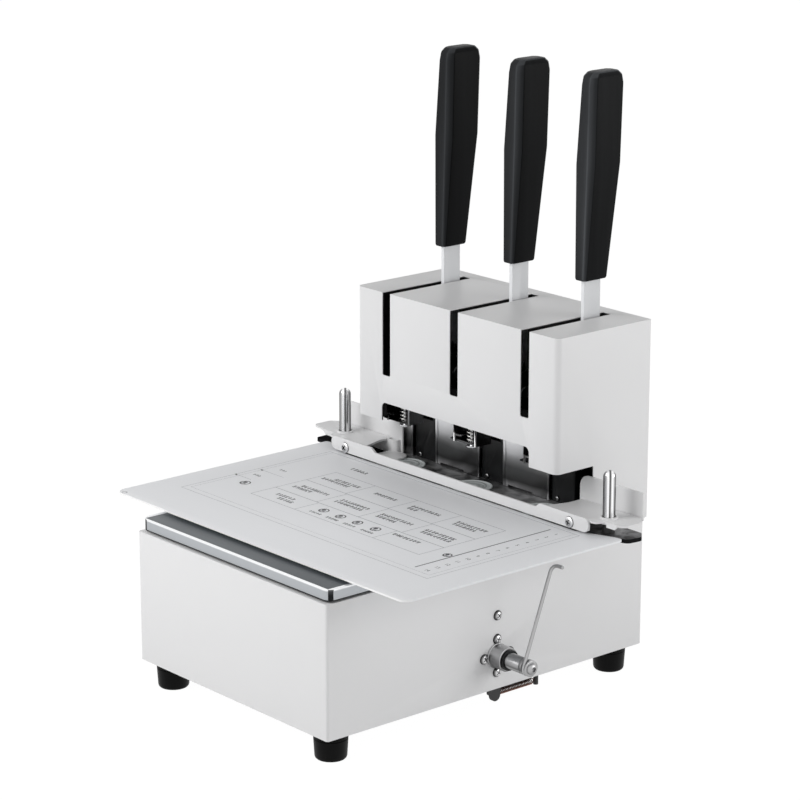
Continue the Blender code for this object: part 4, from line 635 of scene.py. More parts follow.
RUBBER = moulded(
    "rubber", (0.0018, 0.0018, 0.0018), 0.45, scale=900, strength=0.25, spread=0.30, specular=0.09)
INK = moulded("print_grey", (0.36, 0.37, 0.39), 0.55, scale=1500, strength=0.03, spread=0.05)
INK_DARK = moulded("print_dark", (0.04, 0.04, 0.045), 0.55, scale=1500, strength=0.03, spread=0.05)

# %% [markdown]
# The cutting pads are a pale worn plastic, turned on a lathe, so fine rings run round each needle's
# axis. The distance from the axis makes the rings, and `WRAP` repeats them at each needle.

# %% Pads
RING_PITCH = 0.0028
WORN_FROM = 0.0118


def pad_finish(pitch, centre):
    finish = Finish("pad_plastic", (0.46, 0.50, 0.50), 0.38)
    x, y, _ = finish.where()
    x = (x - centre.x).math("WRAP", pitch / 2, -pitch / 2)
    y = y - centre.y
    radius = (x * x + y * y).math("SQRT")
    line = radius.math("PINGPONG", RING_PITCH) / RING_PITCH
    worn = radius.math("GREATER_THAN", WORN_FROM)
    grain = finish.noise(700, 3)
    amount = line.math("POWER", 0.4) * 0.45 + worn * 0.3 + grain * 0.25
    finish.tint(amount, (0.22, 0.24, 0.245), (0.80, 0.84, 0.84))
    finish.rough(0.30 + grain * 0.12)
    finish.bump(line, 0.25, 0.0002)
    return finish.done()


PAD_PLASTIC = pad_finish(NEEDLE_PITCH * MILLIMETRE, TO_FRAME @ Vector((STATIONS[2], NEEDLE_Y, 0)))

# %% [markdown]
# ### Finishes by slot
# The record gives each CAD node a material slot, and each slot has the finish of the same name.

# %% Finishes on the CAD nodes
FINISHES = {
    "white_paint": WHITE_PAINT, "table_paint": TABLE_PAINT, "slab_finish": SLAB_FINISH,
    "dark_steel": DARK_STEEL, "black_finish": BLACK_FINISH, "stainless": STAINLESS,
    "chrome": CHROME, "zinc": ZINC, "grip_plastic": GRIP_PLASTIC, "rubber": RUBBER,
    "pad_plastic": PAD_PLASTIC, "spring_steel": SPRING_STEEL, "copper_steel": COPPER_STEEL,
}
for node, part in frame["nodes"].items():
    part.data.materials.clear()
    part.data.materials.append(FINISHES[SLOT_OF[node]])
print(len(FINISHES), "finishes on", len(frame["nodes"]), "CAD nodes")

# %% [markdown]
# ## Outlines with round corners
# A sheet-metal machine is mostly flat outlines with a thickness. An outline is written as corners
# with a radius each, as on a workshop drawing, and `rounded` turns each corner into an arc.

# %% Outlines
def rounded(corners, steps=10):
    """Closed outline through (a, b, radius) corners."""
    outline = []
    for index, (a, b, radius) in enumerate(corners):
        corner = Vector((a, b))
        if radius == 0:
            outline.append(corner)
            continue
        before = (Vector(corners[index - 1][:2]) - corner).normalized()
        after = (Vector(corners[(index + 1) % len(corners)][:2]) - corner).normalized()
        half = before.angle(after) / 2
        centre = corner + (before + after).normalized() * radius / math.sin(half)
        start = corner + before * radius / math.tan(half) - centre
        end = corner + after * radius / math.tan(half) - centre
        turn = math.atan2(start.x * end.y - start.y * end.x, start.dot(end))
        outline += [centre + Matrix.Rotation(turn * step / steps, 2) @ start for step in range(steps + 1)]
    return outline


def on_side(side, corners):
    """The same corners on the right, with side 1, or on the left, with side -1."""
    return [(side * a, b, radius) for a, b, radius in corners]


def mirrored(corners):
    return corners + on_side(-1, corners)[::-1]


def rectangle(low_a, high_a, low_b, high_b, radius=0):
    return [(a, b, radius) for a, b in ((low_a, low_b), (high_a, low_b), (high_a, high_b), (low_a, high_b))]


def circle(a, b, radius, sides=48):
    turns = [math.tau * step / sides for step in range(sides)]
    return [(a + radius * math.cos(turn), b + radius * math.sin(turn), 0) for turn in turns]


print("a rounded square has", len(rounded(rectangle(0, 10, 0, 10, 2))), "points")

# %% [markdown]
# ## From modifier to plain mesh
# Curves, Booleans, Bevels and Geometry Nodes all end the same way: the object is evaluated, its
# result is kept as a plain mesh, and the object goes. No modifier is left.

# %% Objects that only serve to make a mesh
def shown(data):
    made = bpy.data.objects.new("work", data)
    bpy.context.scene.collection.objects.link(made)
    return made


def baked(made):
    """Plain mesh of an object as it is evaluated; the object is removed."""
    bpy.context.view_layer.update()
    graph = bpy.context.evaluated_depsgraph_get()
    mesh = bpy.data.meshes.new_from_object(made.evaluated_get(graph))
    bpy.data.objects.remove(made)
    return mesh


def cleaned(mesh, distance=0.0005):
    """Mesh with its doubles merged and its faces turned outwards."""
    shape = bmesh.new()
    shape.from_mesh(mesh)
    bmesh.ops.remove_doubles(shape, verts=shape.verts, dist=distance)
    bmesh.ops.recalc_face_normals(shape, faces=shape.faces)
    shape.to_mesh(mesh)
    shape.free()
    return mesh


# %% [markdown]
# ## From outline to solid
# A 2D curve fills its outline and gives it a thickness. Its caps come loose from its sides, so the
# doubles are merged. Extruding a mesh face would do too, but a curve also fills an outline with
# inward corners by itself.

# %% Plates and blocks
FACING = {
    "x": Matrix(((0, 0, 1, 0), (1, 0, 0, 0), (0, 1, 0, 0), (0, 0, 0, 1))),
    "y": Matrix.Rotation(math.radians(90), 4, "X"),
    "z": Matrix.Identity(4),
}


def plate(corners, low, high, facing="z", steps=10):
    """Flat plate between two levels along an axis, from (a, b, radius) corners."""
    outline = rounded(corners, steps)
    curve = bpy.data.curves.new("outline", "CURVE")
    curve.dimensions = "2D"
    curve.fill_mode = "BOTH"
    curve.extrude = (high - low) / 2
    spline = curve.splines.new("POLY")
    spline.points.add(len(outline) - 1)
    for point, place in zip(spline.points, outline):
        point.co = (place[0], place[1], 0, 1)
    spline.use_cyclic_u = True
    mesh = cleaned(baked(shown(curve)))
    mesh.transform(FACING[facing])
    shift = [0, 0, 0]
    shift["xyz".index(facing)] = (low + high) / 2
    mesh.transform(Matrix.Translation(shift))
    return mesh


def block(low, high):
    """Box between two corners."""
    shape = bmesh.new()
    size = [abs(upper - lower) for lower, upper in zip(low, high)]
    centre = [(upper + lower) / 2 for lower, upper in zip(low, high)]
    bmesh.ops.create_cube(shape, size=1, matrix=Matrix.Translation(centre) @ Matrix.Diagonal((*size, 1)))
    mesh = bpy.data.meshes.new("block")
    shape.to_mesh(mesh)
    shape.free()
    return mesh


print("a block has", len(block((0, 0, 0), (10, 10, 10)).polygons), "faces")

# %% [markdown]
# ## Cuts, joints and eased edges
# Cuts are Booleans, as a milling cutter would make them. A Bevel then takes the sharpness off every
# edge, because a real edge always catches a thin line of light.

# %% Cuts, joints and eased edges
def combined(mesh, operation, others):
    """Boolean of a mesh with several others."""
    made = shown(mesh)
    tools = [shown(other) for other in others]
    for tool in tools:
        step = made.modifiers.new("step", "BOOLEAN")
        step.operation = operation
        step.object = tool
    result = baked(made)
    for tool in tools:
        bpy.data.objects.remove(tool)
    return result


def cut(mesh, *tools):
    return combined(mesh, "DIFFERENCE", tools)


def united(mesh, *others):
    return combined(mesh, "UNION", others)


def eased(mesh, width=0.3, segments=2, angle=38):
    """Bevel on every edge sharper than an angle."""
    made = shown(mesh)
    step = made.modifiers.new("ease", "BEVEL")
    step.width = width
    step.segments = segments
    step.limit_method = "ANGLE"
    step.angle_limit = math.radians(angle)
    step.use_clamp_overlap = True
    return baked(made)


print("an eased block has", len(eased(block((0, 0, 0), (10, 10, 10))).polygons), "faces")

# %% [markdown]
# ## Turned pieces and wires
# Feet, posts, pads and bushes come off a lathe, so each is a half profile spun about its axis.
# A wire is a circle swept along points.

# %% Lathe and wire
TURN = {"x": Matrix.Rotation(math.radians(90), 4, "Y"), "z": Matrix.Identity(4)}


def turned(profile, place, sides=64, along="z"):
    """Solid of revolution: (radius, height) down its outer side, with its foot at a place."""
    shape = bmesh.new()
    points = [shape.verts.new((radius, 0, height)) for radius, height in profile]
    edges = [shape.edges.new(pair) for pair in zip(points, points[1:])]
    if profile[0][0] > 0:
        edges.append(shape.edges.new((points[-1], points[0])))
    bmesh.ops.spin(shape, geom=points + edges, cent=(0, 0, 0), axis=(0, 0, 1), angle=math.tau, steps=sides)
    mesh = bpy.data.meshes.new("turned")
    shape.to_mesh(mesh)
    shape.free()
    mesh.transform(Matrix.Translation(place) @ TURN[along])
    return cleaned(mesh)


def drill(radius, length, place, sides=64, along="z"):
    """Cylinder that cuts a bore."""
    return turned([(0, length), (radius, length), (radius, 0), (0, 0)], place, sides, along)


def swept(points, radius, sides=12):
    """Round wire along points, with closed ends."""
    curve = bpy.data.curves.new("wire", "CURVE")
    curve.dimensions = "3D"
    curve.bevel_depth = radius
    curve.bevel_resolution = sides // 4 - 1
    curve.use_fill_caps = True
    spline = curve.splines.new("POLY")
    spline.points.add(len(points) - 1)
    for point, place in zip(spline.points, points):
        point.co = (*place, 1)
    return cleaned(baked(shown(curve)))


print("a drill has", len(drill(5, 10, (0, 0, 0)).polygons), "faces")

# %% [markdown]
# ## Handing a piece over
# `piece` takes a finished mesh from the drawing to the frame, gives it its finish, puts it on the
# body that carries it and hides the CAD nodes that it stands for. Where the CAD solid already has
# the right shape, `refined` shows a merged copy of it with eased edges.

# %% Pieces and dressed copies
SMOOTH_ANGLE = 35


def joined(meshes):
    shape = bmesh.new()
    for mesh in meshes:
        shape.from_mesh(mesh)
    result = bpy.data.meshes.new("joined")
    shape.to_mesh(result)
    shape.free()
    return result


def piece(name, mesh, body, slot, replaces=(), finish=None, smooth=SMOOTH_ANGLE):
    mesh.transform(TO_FRAME)
    mesh.materials.clear()
    mesh.materials.append(finish or FINISHES[slot])
    for polygon in mesh.polygons:
        polygon.material_index = 0
    mesh.shade_smooth()
    mesh.set_sharp_from_angle(angle=math.radians(smooth))
    made = bpy.data.objects.new(name, mesh)
    mesh.name = name
    bpy.context.scene.collection.objects.link(made)
    if body:
        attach(made, body)
    if replaces:
        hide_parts(*replaces)
    print(name, "has", len(mesh.polygons), "faces")
    return made


def standing_for(node, mesh, finish=None, smooth=SMOOTH_ANGLE):
    """Piece that takes over one CAD node."""
    return piece(f"{node}_shown", mesh, BODY_OF[node], SLOT_OF[node], (node,), finish, smooth)


def copied(node):
    """Merged copy of a CAD node in the drawing's millimetres, with its flat faces made whole."""
    shape = bmesh.new()
    shape.from_mesh(frame["nodes"][node].data)
    bmesh.ops.transform(shape, matrix=TO_FRAME.inverted(), verts=shape.verts)
    bmesh.ops.remove_doubles(shape, verts=shape.verts, dist=0.002)
    bmesh.ops.dissolve_limit(shape, angle_limit=math.radians(0.5), verts=shape.verts, edges=shape.edges)
    mesh = bpy.data.meshes.new(node)
    shape.to_mesh(mesh)
    shape.free()
    return mesh


def refined(node, width, segments=2, angle=38, finish=None, smooth=SMOOTH_ANGLE):
    return standing_for(node, eased(copied(node), width, segments, angle), finish, smooth)


print("faces that meet at less than", SMOOTH_ANGLE, "degrees are shaded as one")

# %% [markdown]
# ## The cabinet
# The base is a folded steel box, open below and closed by a floor sheet. Its folds have a small
# radius, and a bore on the right lets the side arm's shaft in.

# %% Cabinet
SHEET = 1.5
low, high = span("base_cabinet")
shell = plate(rectangle(low.x, high.x, low.y, high.y, 2.2), low.z, high.z, steps=6)
hollow = block((low.x + SHEET, low.y + SHEET, low.z - 2), (high.x - SHEET, high.y - SHEET, high.z - SHEET))
shaft_bore = drill(7, 10, (ARM.x - 5, ARM.y, ARM.z), along="x")
standing_for("base_cabinet", eased(cut(shell, hollow, shaft_bore), 0.7, 3))
standing_for("base_floor", copied("base_floor"))

# %% [markdown]
# ## Feet
# Four turned rubber feet taper slightly. Each has a groove near its top, from the mould, and a
# recess below for its screw.

# %% Feet
RECESS = 7.0
FOOT_PROFILE = [
    (0, 21.1), (12.6, 21.1), (13.0, 20.7), (12.9, 16.6), (12.4, 16.3), (12.4, 15.8), (12.8, 15.5),
    (12.0, 2.2), (11.6, 1.1), (10.8, 0.3), (9.8, 0), (6.6, 0), (6.2, 0.4), (6.2, RECESS), (0, RECESS),
]
FOOT_PLACES = []
for number in range(1, 5):
    place = middle(f"foot_{number}")
    FOOT_PLACES.append(Vector((place.x, place.y, RECESS)))
    standing_for(f"foot_{number}", turned(FOOT_PROFILE, (place.x, place.y, 0)))

# %% [markdown]
# ## Deck slab
# The slab sits on the cabinet with a thin shadow gap under its bright trim. A raised platform on it
# carries the table. The slab is one plate, and a smaller plate below it leaves the gap.

# %% Slab
SLAB_SIDE, SLAB_FRONT = 112.6, 2.6
SLAB_TOP, GAP_TOP = 135.0, 126.4
STEP_SIDE, STEP_FRONT, STEP_BACK = 107.7, 6, 301
PLATFORM_SIDE, PLATFORM_FRONT, PLATFORM_BACK = 100, 30, 221.5
low, high = span("slab_plate")
slab = plate([
    (-SLAB_SIDE, SLAB_FRONT, 8), (SLAB_SIDE, SLAB_FRONT, 6), (SLAB_SIDE, high.y, 6), (-SLAB_SIDE, high.y, 6)],
    GAP_TOP, SLAB_TOP, steps=12)
step = plate(rectangle(-STEP_SIDE, STEP_SIDE, STEP_FRONT, STEP_BACK, 2), low.z, SLAB_TOP - 1)
platform = block((-PLATFORM_SIDE, PLATFORM_FRONT, SLAB_TOP - 1), (PLATFORM_SIDE, PLATFORM_BACK, high.z))
standing_for("slab_plate", united(eased(slab, 0.5, 3), step, platform))

# %% [markdown]
# ## Work table
# The paper table overhangs on both sides. Its back runs round the guide posts in two small ears, so
# its outline is drawn on the right and mirrored.

# %% Table
low, high = span("work_table")
TABLE_TOP = round(high.z, 1)
EARS = [(172.7, 235.7, 3), (165, 234.4, 3), (143, 226.4, 3), (134, 222.9, 3)]
table = plate(mirrored([(172.7, 21.8, 8)] + EARS), low.z, TABLE_TOP, steps=16)
standing_for("work_table", eased(table, 0.45, 3))

# %% [markdown]
# ## Bed and cutting pads
# The bed behind the table has two wings of unlike length. Under each needle it has a round seat,
# and a turned pad lies in it that can be taken out when it is worn.

# %% Bed and pads
BED_FOOT = 135.3
SEAT_RADIUS, SEAT_FLOOR, SEAT_CUT = 16.6, 137.3, 5


def wing(side, outer, tip):
    """Outline of one wing, with the radius of its tip."""
    return on_side(side, [
        (134, 223.3, 3), (143, 226.8, 3), (165, 234.8, 3), (outer - tip * 0.4, 234 + tip * 0.56, tip),
        (outer, 250, tip), (outer - 7, 256.8, 3), (112.5, 256.8, 0), (112.5, 302, 0)])


bed = plate(wing(1, 177.2, 5) + wing(-1, 187.4, 2)[::-1], BED_FOOT, TABLE_TOP)
seats = [drill(SEAT_RADIUS, SEAT_CUT, (x, NEEDLE_Y, SEAT_FLOOR), 72) for x in STATIONS.values()]
standing_for("bed_plate", eased(cut(bed, *seats), 0.25), BED_STEEL)
PAD_PROFILE = [
    (0, 138.85), (2.6, 138.85), (2.9, 138.7), (3.2, 139.0), (8.8, 139.0), (9.1, 138.7), (9.6, 138.7),
    (9.9, 139.0), (13.4, 139.0), (13.7, 138.75), (14.1, 138.75), (14.4, 139.0), (15.9, 139.0),
    (16.3, 138.6), (16.3, 137.6), (0, 137.6),
]
for number, x in STATIONS.items():
    standing_for(f"pad_{number}", turned(PAD_PROFILE, (x, NEEDLE_Y, 0), 96))

# %% [markdown]
# ## Guide posts and brackets
# Two chromed posts with domed tops guide the press. Behind each stands a white bracket, folded from
# one sheet: an upright face, a leg under it and a foot that is screwed to the bed.

# %% Posts and brackets
POST_RADIUS, DOME_FROM = 4.8, 182.3
post_foot = round(span("guide_post_right")[0].z, 1)
turns = [math.radians(angle) for angle in range(0, 91, 10)]
dome = [(POST_RADIUS * math.sin(turn), DOME_FROM + POST_RADIUS * math.cos(turn)) for turn in turns]
post = dome + [(POST_RADIUS, post_foot), (0, post_foot)]
upright_corners = [
    (103.4, post_foot, 0), (112.2, post_foot, 0), (112.2, 147.5, 0), (170.5, 147.5, 0.8),
    (170.5, 169.2, 1.5), (103.4, 169.2, 9)]
leg_corners = [
    (105.5, 258.2, 0), (105.5, 252, 5), (145.5, 252, 0), (145.5, 253.5, 0), (107, 253.5, 3.5),
    (107, 258.2, 0)]
foot_corners = [(112.2, 238, 1.5), (89.5, 238, 7.9), (89.5, 254, 7.9), (112.2, 254, 0)]
for name, side in SIDES_OF_MACHINE.items():
    standing_for(f"guide_post_{name}", turned(post, (side * POST.x, POST.y, 0), 96), POST_CHROME, 50)
    upright = plate(on_side(side, upright_corners), 257.4, 257.4 + SHEET, "y")
    leg = plate(on_side(side, leg_corners), post_foot, 149.8)
    foot = plate(on_side(side, foot_corners), 139.3, 139.3 + SHEET)
    standing_for(f"guide_bracket_{name}", eased(united(upright, leg, foot), 0.3))

# %% [markdown]
# ## Columns, stops and axles
# Black milled columns carry the lever axles. Between them stand brushed stop plates with hemmed
# edges, against which the paper is pushed. The CAD solids already have these shapes, so merged
# copies with eased edges are enough. Only the axles are turned anew, with a neck for the lever.

# %% Columns, stop plates and axles
JOURNAL, NECK, NECK_HALF = 5, 3.5, 13.2
for number, x in STATIONS.items():
    refined(f"column_{number}", 0.3)
    low, high = span(f"lever_axle_{number}")
    half = (high.x - low.x) / 2
    axle = [(0, half), (4.2, half), (JOURNAL, half - 0.6), (JOURNAL, NECK_HALF), (NECK, NECK_HALF),
            (NECK, -NECK_HALF), (JOURNAL, -NECK_HALF), (JOURNAL, 0.6 - half), (4.2, -half), (0, -half)]
    standing_for(f"lever_axle_{number}", turned(axle, (x, AXLE.y, AXLE.z), 48, "x"))
for name in ("left", "mid_1", "mid_2"):
    refined(f"stop_plate_{name}", 0.15)

# %% [markdown]
# ## The hood
# One folded sheet covers the drives. It is modelled as the sheet worker sees it: a rounded box,
# hollowed to sheet thickness, then cut for the paper, the press and the three levers.

# %% Hood and back cover
INNER_SIDE, INNER_TOP = HOOD_SIDE - SHEET, hood_high.z - SHEET
BELOW, BEHIND = 123, 320
INSIDE_BACK, COVER_SEAT = 312.5, 314.0
OPENING_SIDE, OPENING_TOP, PAPER_GAP_TOP = 100.6, 267.6, 177.6
SLOT_HALF, SLOT_FOOT, SLOT_BACK = 4.7, 215.3, 306.5


def three_sides(side, front, back, radius):
    """Outline of a box with round front corners."""
    return [(-side, front, radius), (side, front, radius), (side, back, 0), (-side, back, 0)]


def lever_slot(x):
    corners = [(x - SLOT_HALF, SLOT_FOOT, 1.6), (x + SLOT_HALF, SLOT_FOOT, 1.6),
               (x + SLOT_HALF, 290, 0), (x - SLOT_HALF, 290, 0)]
    return plate(corners, 215, SLOT_BACK, "y", 6)


def build_hood():
    outside = three_sides(HOOD_SIDE, hood_low.y, hood_high.y, 5)
    hood = eased(plate(outside, hood_low.z, hood_high.z, steps=14), 1.5, 4, 60)
    inside = plate(three_sides(INNER_SIDE, hood_low.y + SHEET, INSIDE_BACK, 3.5), BELOW, INNER_TOP, steps=14)
    back_opening = block((-OPENING_SIDE, 310, BELOW), (OPENING_SIDE, BEHIND, OPENING_TOP))
    cover_seat = block((-INNER_SIDE, COVER_SEAT, BELOW), (INNER_SIDE, BEHIND, INNER_TOP))
    paper_gap = block((-120, 215, BELOW), (120, 244.5, PAPER_GAP_TOP))
    press_gap = block((-110, 244, BELOW), (120, 259.2, PAPER_GAP_TOP))
    left_press_gap = block((-120, 244, BELOW), (-109, 259.2, 169.6))
    window = plate(mirrored([(85.6, 170, 0), (85.6, 192.8, 4.5)]), 218, 224, "y")
    slots = [lever_slot(x) for x in STATIONS.values()]
    return eased(cut(hood, inside, back_opening, cover_seat, paper_gap, press_gap, left_press_gap,
                     window, *slots), 0.3)


standing_for("hood", build_hood(), HOOD_PAINT)
refined("back_cover", 0.4, finish=COVER_PAINT)

# %% [markdown]
# ## Levers
# Each lever is a white strip with a black grip pushed over it. The grip is moulded with chamfered
# sides: its facets catch the light, so the edges between them are only slightly rounded.

# %% Strips, pinions and grips
for number in STATIONS:
    refined(f"lever_strip_{number}", 0.4, finish=STRIP_PAINT)
    refined(f"pinion_{number}", 0.2, 1)
    refined(f"lever_grip_{number}", 0.8, 3, 12, smooth=60)

# %% [markdown]
# ## Needle carriers
# A carrier is a folded channel with a toothed bar behind it. A small shelf stands out of its left
# wall, and a notch behind clears the bed. The needle hangs in its bridge, and a compression spring
# keeps the needle's collar down.

# %% Carriers and needles
NEEDLE_PROFILE = [
    (0, 205.2), (2.2, 205.2), (2.2, 172.3), (4.5, 172.3), (4.7, 172.1), (4.7, 171.2), (4.5, 171.0),
    (2.2, 171.0), (2.2, 170.6), (1.9, 170.3), (1.3, 169.7), (0, 170.6),
]
for number, x in STATIONS.items():
    shelf = block((x - 12.2, CARRIER_FRONT, 179.5), (x - 5.3, CARRIER_FRONT + 10, 180.7))
    notch = block((x - 20, 248.5, 170), (x + 20, 270, 192.5))
    carrier = cut(united(copied(f"carrier_{number}"), shelf), notch)
    standing_for(f"carrier_{number}", eased(carrier, 0.2, 1), CARRIER_STEEL)
    standing_for(f"needle_{number}", turned(NEEDLE_PROFILE, (x, NEEDLE_Y, 0), 48))

# %% [markdown]
# ### Geometry Nodes in three calls
# A tree gets named inputs for its sizes, is filled like a shader, and ends in Realize Instances and
# Set Material. `grown` puts it on a mesh, sets the inputs by their identifiers, and keeps the result
# as a plain mesh.

# %% Beginning, ending and using a tree
SOCKETS = {int: "NodeSocketInt", float: "NodeSocketFloat", tuple: "NodeSocketVector"}


def new_tree(name, sizes):
    """Geometry Nodes tree with named inputs: its nodes, the inputs' links and the result's sockets."""
    tree = bpy.data.node_groups.new(name, "GeometryNodeTree")
    tree.interface.new_socket("Geometry", in_out="INPUT", socket_type="NodeSocketGeometry")
    tree.interface.new_socket("Geometry", in_out="OUTPUT", socket_type="NodeSocketGeometry")
    for label, value in sizes.items():
        socket = tree.interface.new_socket(label, in_out="INPUT", socket_type=SOCKETS[type(value)])
        socket.default_value = value
    tree.interface.new_socket("Finish", in_out="INPUT", socket_type="NodeSocketMaterial")
    nodes = Nodes(tree)
    return nodes, nodes.add("NodeGroupInput").outputs, nodes.add("NodeGroupOutput").inputs


def finish_tree(nodes, given, result, geometry):
    """Ends a tree in Realize Instances and Set Material."""
    real = nodes.add("GeometryNodeRealizeInstances", {}, {0: geometry}).outputs[0]
    colored = nodes.add("GeometryNodeSetMaterial", {}, {"Geometry": real, "Material": given["Finish"]})
    nodes.feed(result["Geometry"], colored.outputs[0])
    print(nodes.tree.name, "has", len(nodes.tree.nodes), "nodes")
    return nodes.tree


def grown(tree, mesh, finish, **sizes):
    """Plain mesh that a tree grows from a mesh, with its named inputs set."""
    made = shown(mesh)
    step = made.modifiers.new("grow", "NODES")
    step.node_group = tree
    sockets = {item.name: item.identifier for item in tree.interface.items_tree if item.in_out == "INPUT"}
    for label, value in sizes.items():
        step[sockets[label.replace("_", " ").capitalize()]] = value
    step[sockets["Finish"]] = finish
    return baked(made)


print("the inputs of a tree can be", list(SOCKETS.values()))

# %% [markdown]
# ### Coil springs
# A spring is a spiral with a wire swept along it. The tree has its sizes as named inputs, so the
# same tree can wind any spring. A Screw modifier would do for one spring, but not with round ends.

# %% A tree that winds springs
COIL_RADIUS, WIRE_RADIUS, COIL_HEIGHT, COIL_TURNS, COIL_FOOT = 4.05, 0.62, 20.6, 7.0, 173.6


def spring_tree():
    nodes, given, result = new_tree("coil_spring", {
        "Coil radius": COIL_RADIUS, "Wire radius": WIRE_RADIUS, "Height": COIL_HEIGHT,
        "Turns": COIL_TURNS, "Steps per turn": 28})
    spiral = nodes.add("GeometryNodeCurveSpiral", {}, {
        "Resolution": given["Steps per turn"], "Rotations": given["Turns"],
        "Start Radius": given["Coil radius"], "End Radius": given["Coil radius"],
        "Height": given["Height"]}).outputs[0]
    wire = nodes.add("GeometryNodeCurvePrimitiveCircle", {}, {
        "Resolution": 12, "Radius": given["Wire radius"]}).outputs[0]
    tube = nodes.add("GeometryNodeCurveToMesh", {}, {
        "Curve": spiral, "Profile Curve": wire, "Fill Caps": True}).outputs[0]
    return finish_tree(nodes, given, result, tube)


SPRINGS = spring_tree()
for number, x in STATIONS.items():
    coil = grown(SPRINGS, bpy.data.meshes.new("seed"), SPRING_STEEL, coil_radius=COIL_RADIUS,
                 wire_radius=WIRE_RADIUS, height=COIL_HEIGHT, turns=COIL_TURNS)
    coil.transform(Matrix.Translation((x, NEEDLE_Y, COIL_FOOT)))
    standing_for(f"carrier_spring_{number}", coil, SPRING_STEEL, 60)

# %% [markdown]
# ## The press
# The bar is a thin white strip whose ends rise in a soft step. The two steps differ, as on the real
# machine, so the outline isn't mirrored.

# %% Press bar
BAR_FOOT, BAR_MIDDLE, BAR_TOP = 140, 147.5, 151
BAR_FRONT, BAR_BACK = 222.0, 223.8
bar = plate([
    (149, BAR_FOOT, 5.5), (149, BAR_TOP, 5.5), (96, BAR_TOP, 1.5), (91.5, BAR_MIDDLE, 1.5),
    (-95.9, BAR_MIDDLE, 2), (-101.2, BAR_TOP, 2), (-151.2, BAR_TOP, 5.5), (-151.2, BAR_FOOT, 5.5)],
    BAR_FRONT, BAR_BACK, "y")
standing_for("press_bar", eased(bar, 0.35, 3))

# %% [markdown]
# An end plate behind the bar slides on each guide post with a bush. It is a flat plate with a small
# flange towards the bar and a lip at its side, and the bush and its bore are turned.

# %% End plates
PLATE_FOOT, PLATE_TOP = 148.5, 150
PLATE_REACHES = {"left": (116.2, 187.5), "right": (106.2, 177.4)}
LIP_CORNERS = [(159.8, 145.8, 0), (168.5, 145.8, 0), (171.5, 149.2, 0), (159.8, 149.2, 0)]
BUSH_PROFILE = [(0, 151.4), (6.4, 151.4), (6.8, 151.0), (6.8, 146.5), (0, 146.5)]


def build_end_plate(side, inner, outer):
    body = plate(on_side(side, [
        (inner - 6, 224.1, 0.6), (149.3, 224.1, 0), (150.5, 222.6, 0.75), (155, 224.1, 1.5), (158, 230, 1.5),
        (170.5, 230, 1.5), (outer, 233.5, 4), (outer, 250, 3), (outer - 7, 256.7, 3),
        (inner, 256.7, 0.6), (inner, 243.6, 2)]), PLATE_FOOT, PLATE_TOP)
    flange = block((side * (inner + 2.3), 224.1, 141.2), (side * 147, 225.6, 149.2))
    lip = plate(on_side(side, LIP_CORNERS), 230, 230 + SHEET, "y")
    bush = turned(BUSH_PROFILE, (side * POST.x, POST.y, 0), 96)
    bore = drill(5.3, 30, (side * POST.x, POST.y, 130), 96)
    return eased(cut(united(body, flange, lip, bush), bore), 0.25)


for name, side in SIDES_OF_MACHINE.items():
    standing_for(f"end_plate_{name}", build_end_plate(side, *PLATE_REACHES[name]))

# %% [markdown]
# ## The side arm
# A shaft comes out of a boss on the right wall. A bent wire is screwed to its end, and a tension
# spring under the floor's edge pulls the shaft's tail, so the wire always swings back. The shaft's
# hidden tail stays the CAD shape, and only what comes out of the wall is turned anew.

# %% Boss, ring and shaft
BOSS_PROFILE = [(6.6, 12.6), (8.7, 12.6), (9.3, 12.0), (9.3, 0.9), (9.8, 0.5), (9.8, 0), (6.6, 0)]
RING_PROFILE = [(6.6, 2.0), (7.7, 2.0), (8.0, 1.7), (8.0, 0.3), (7.7, 0), (6.6, 0)]
SHAFT_PROFILE = [
    (0, 37.3), (3.4, 37.3), (3.4, 33.6), (5.8, 33.6), (6.2, 33.2), (6.2, 31.4), (5.9, 31.1), (5.9, 29.8),
    (6.2, 29.5), (6.2, 0), (0, 0),
]
BOSS_X, RING_X, SHAFT_X = 113.5, 126.4, 112.2
standing_for("side_boss", turned(BOSS_PROFILE, (BOSS_X, ARM.y, ARM.z), 72, "x"), BOSS_ZINC)
standing_for("bush_ring", turned(RING_PROFILE, (RING_X, ARM.y, ARM.z), 72, "x"))
outside = block((SHAFT_X - 0.2, 150, 35), (160, 180, 62))
tail = cut(copied("arm_shaft"), outside)
shaft = turned(SHAFT_PROFILE, (SHAFT_X, ARM.y, ARM.z), along="x")
standing_for("arm_shaft", joined([tail, shaft]), SHAFT_STEEL)

# %% [markdown]
# The wire is one path: an eye round the shaft's end, a straight run that leans back, and a tip that
# is bent outwards. Arcs are worked out, and the straight run needs only its ends.

# %% Wire arm
ARM_WIRE, EYE_RADIUS, BEND_RADIUS, TIP_REACH = 1.4, 5.1, 6, 11
ARM_LEAN, WIRE_X, TIP_TOP = math.radians(20.6), 147.7, 125
EYE_STEPS, BEND_STEPS = 36, 8


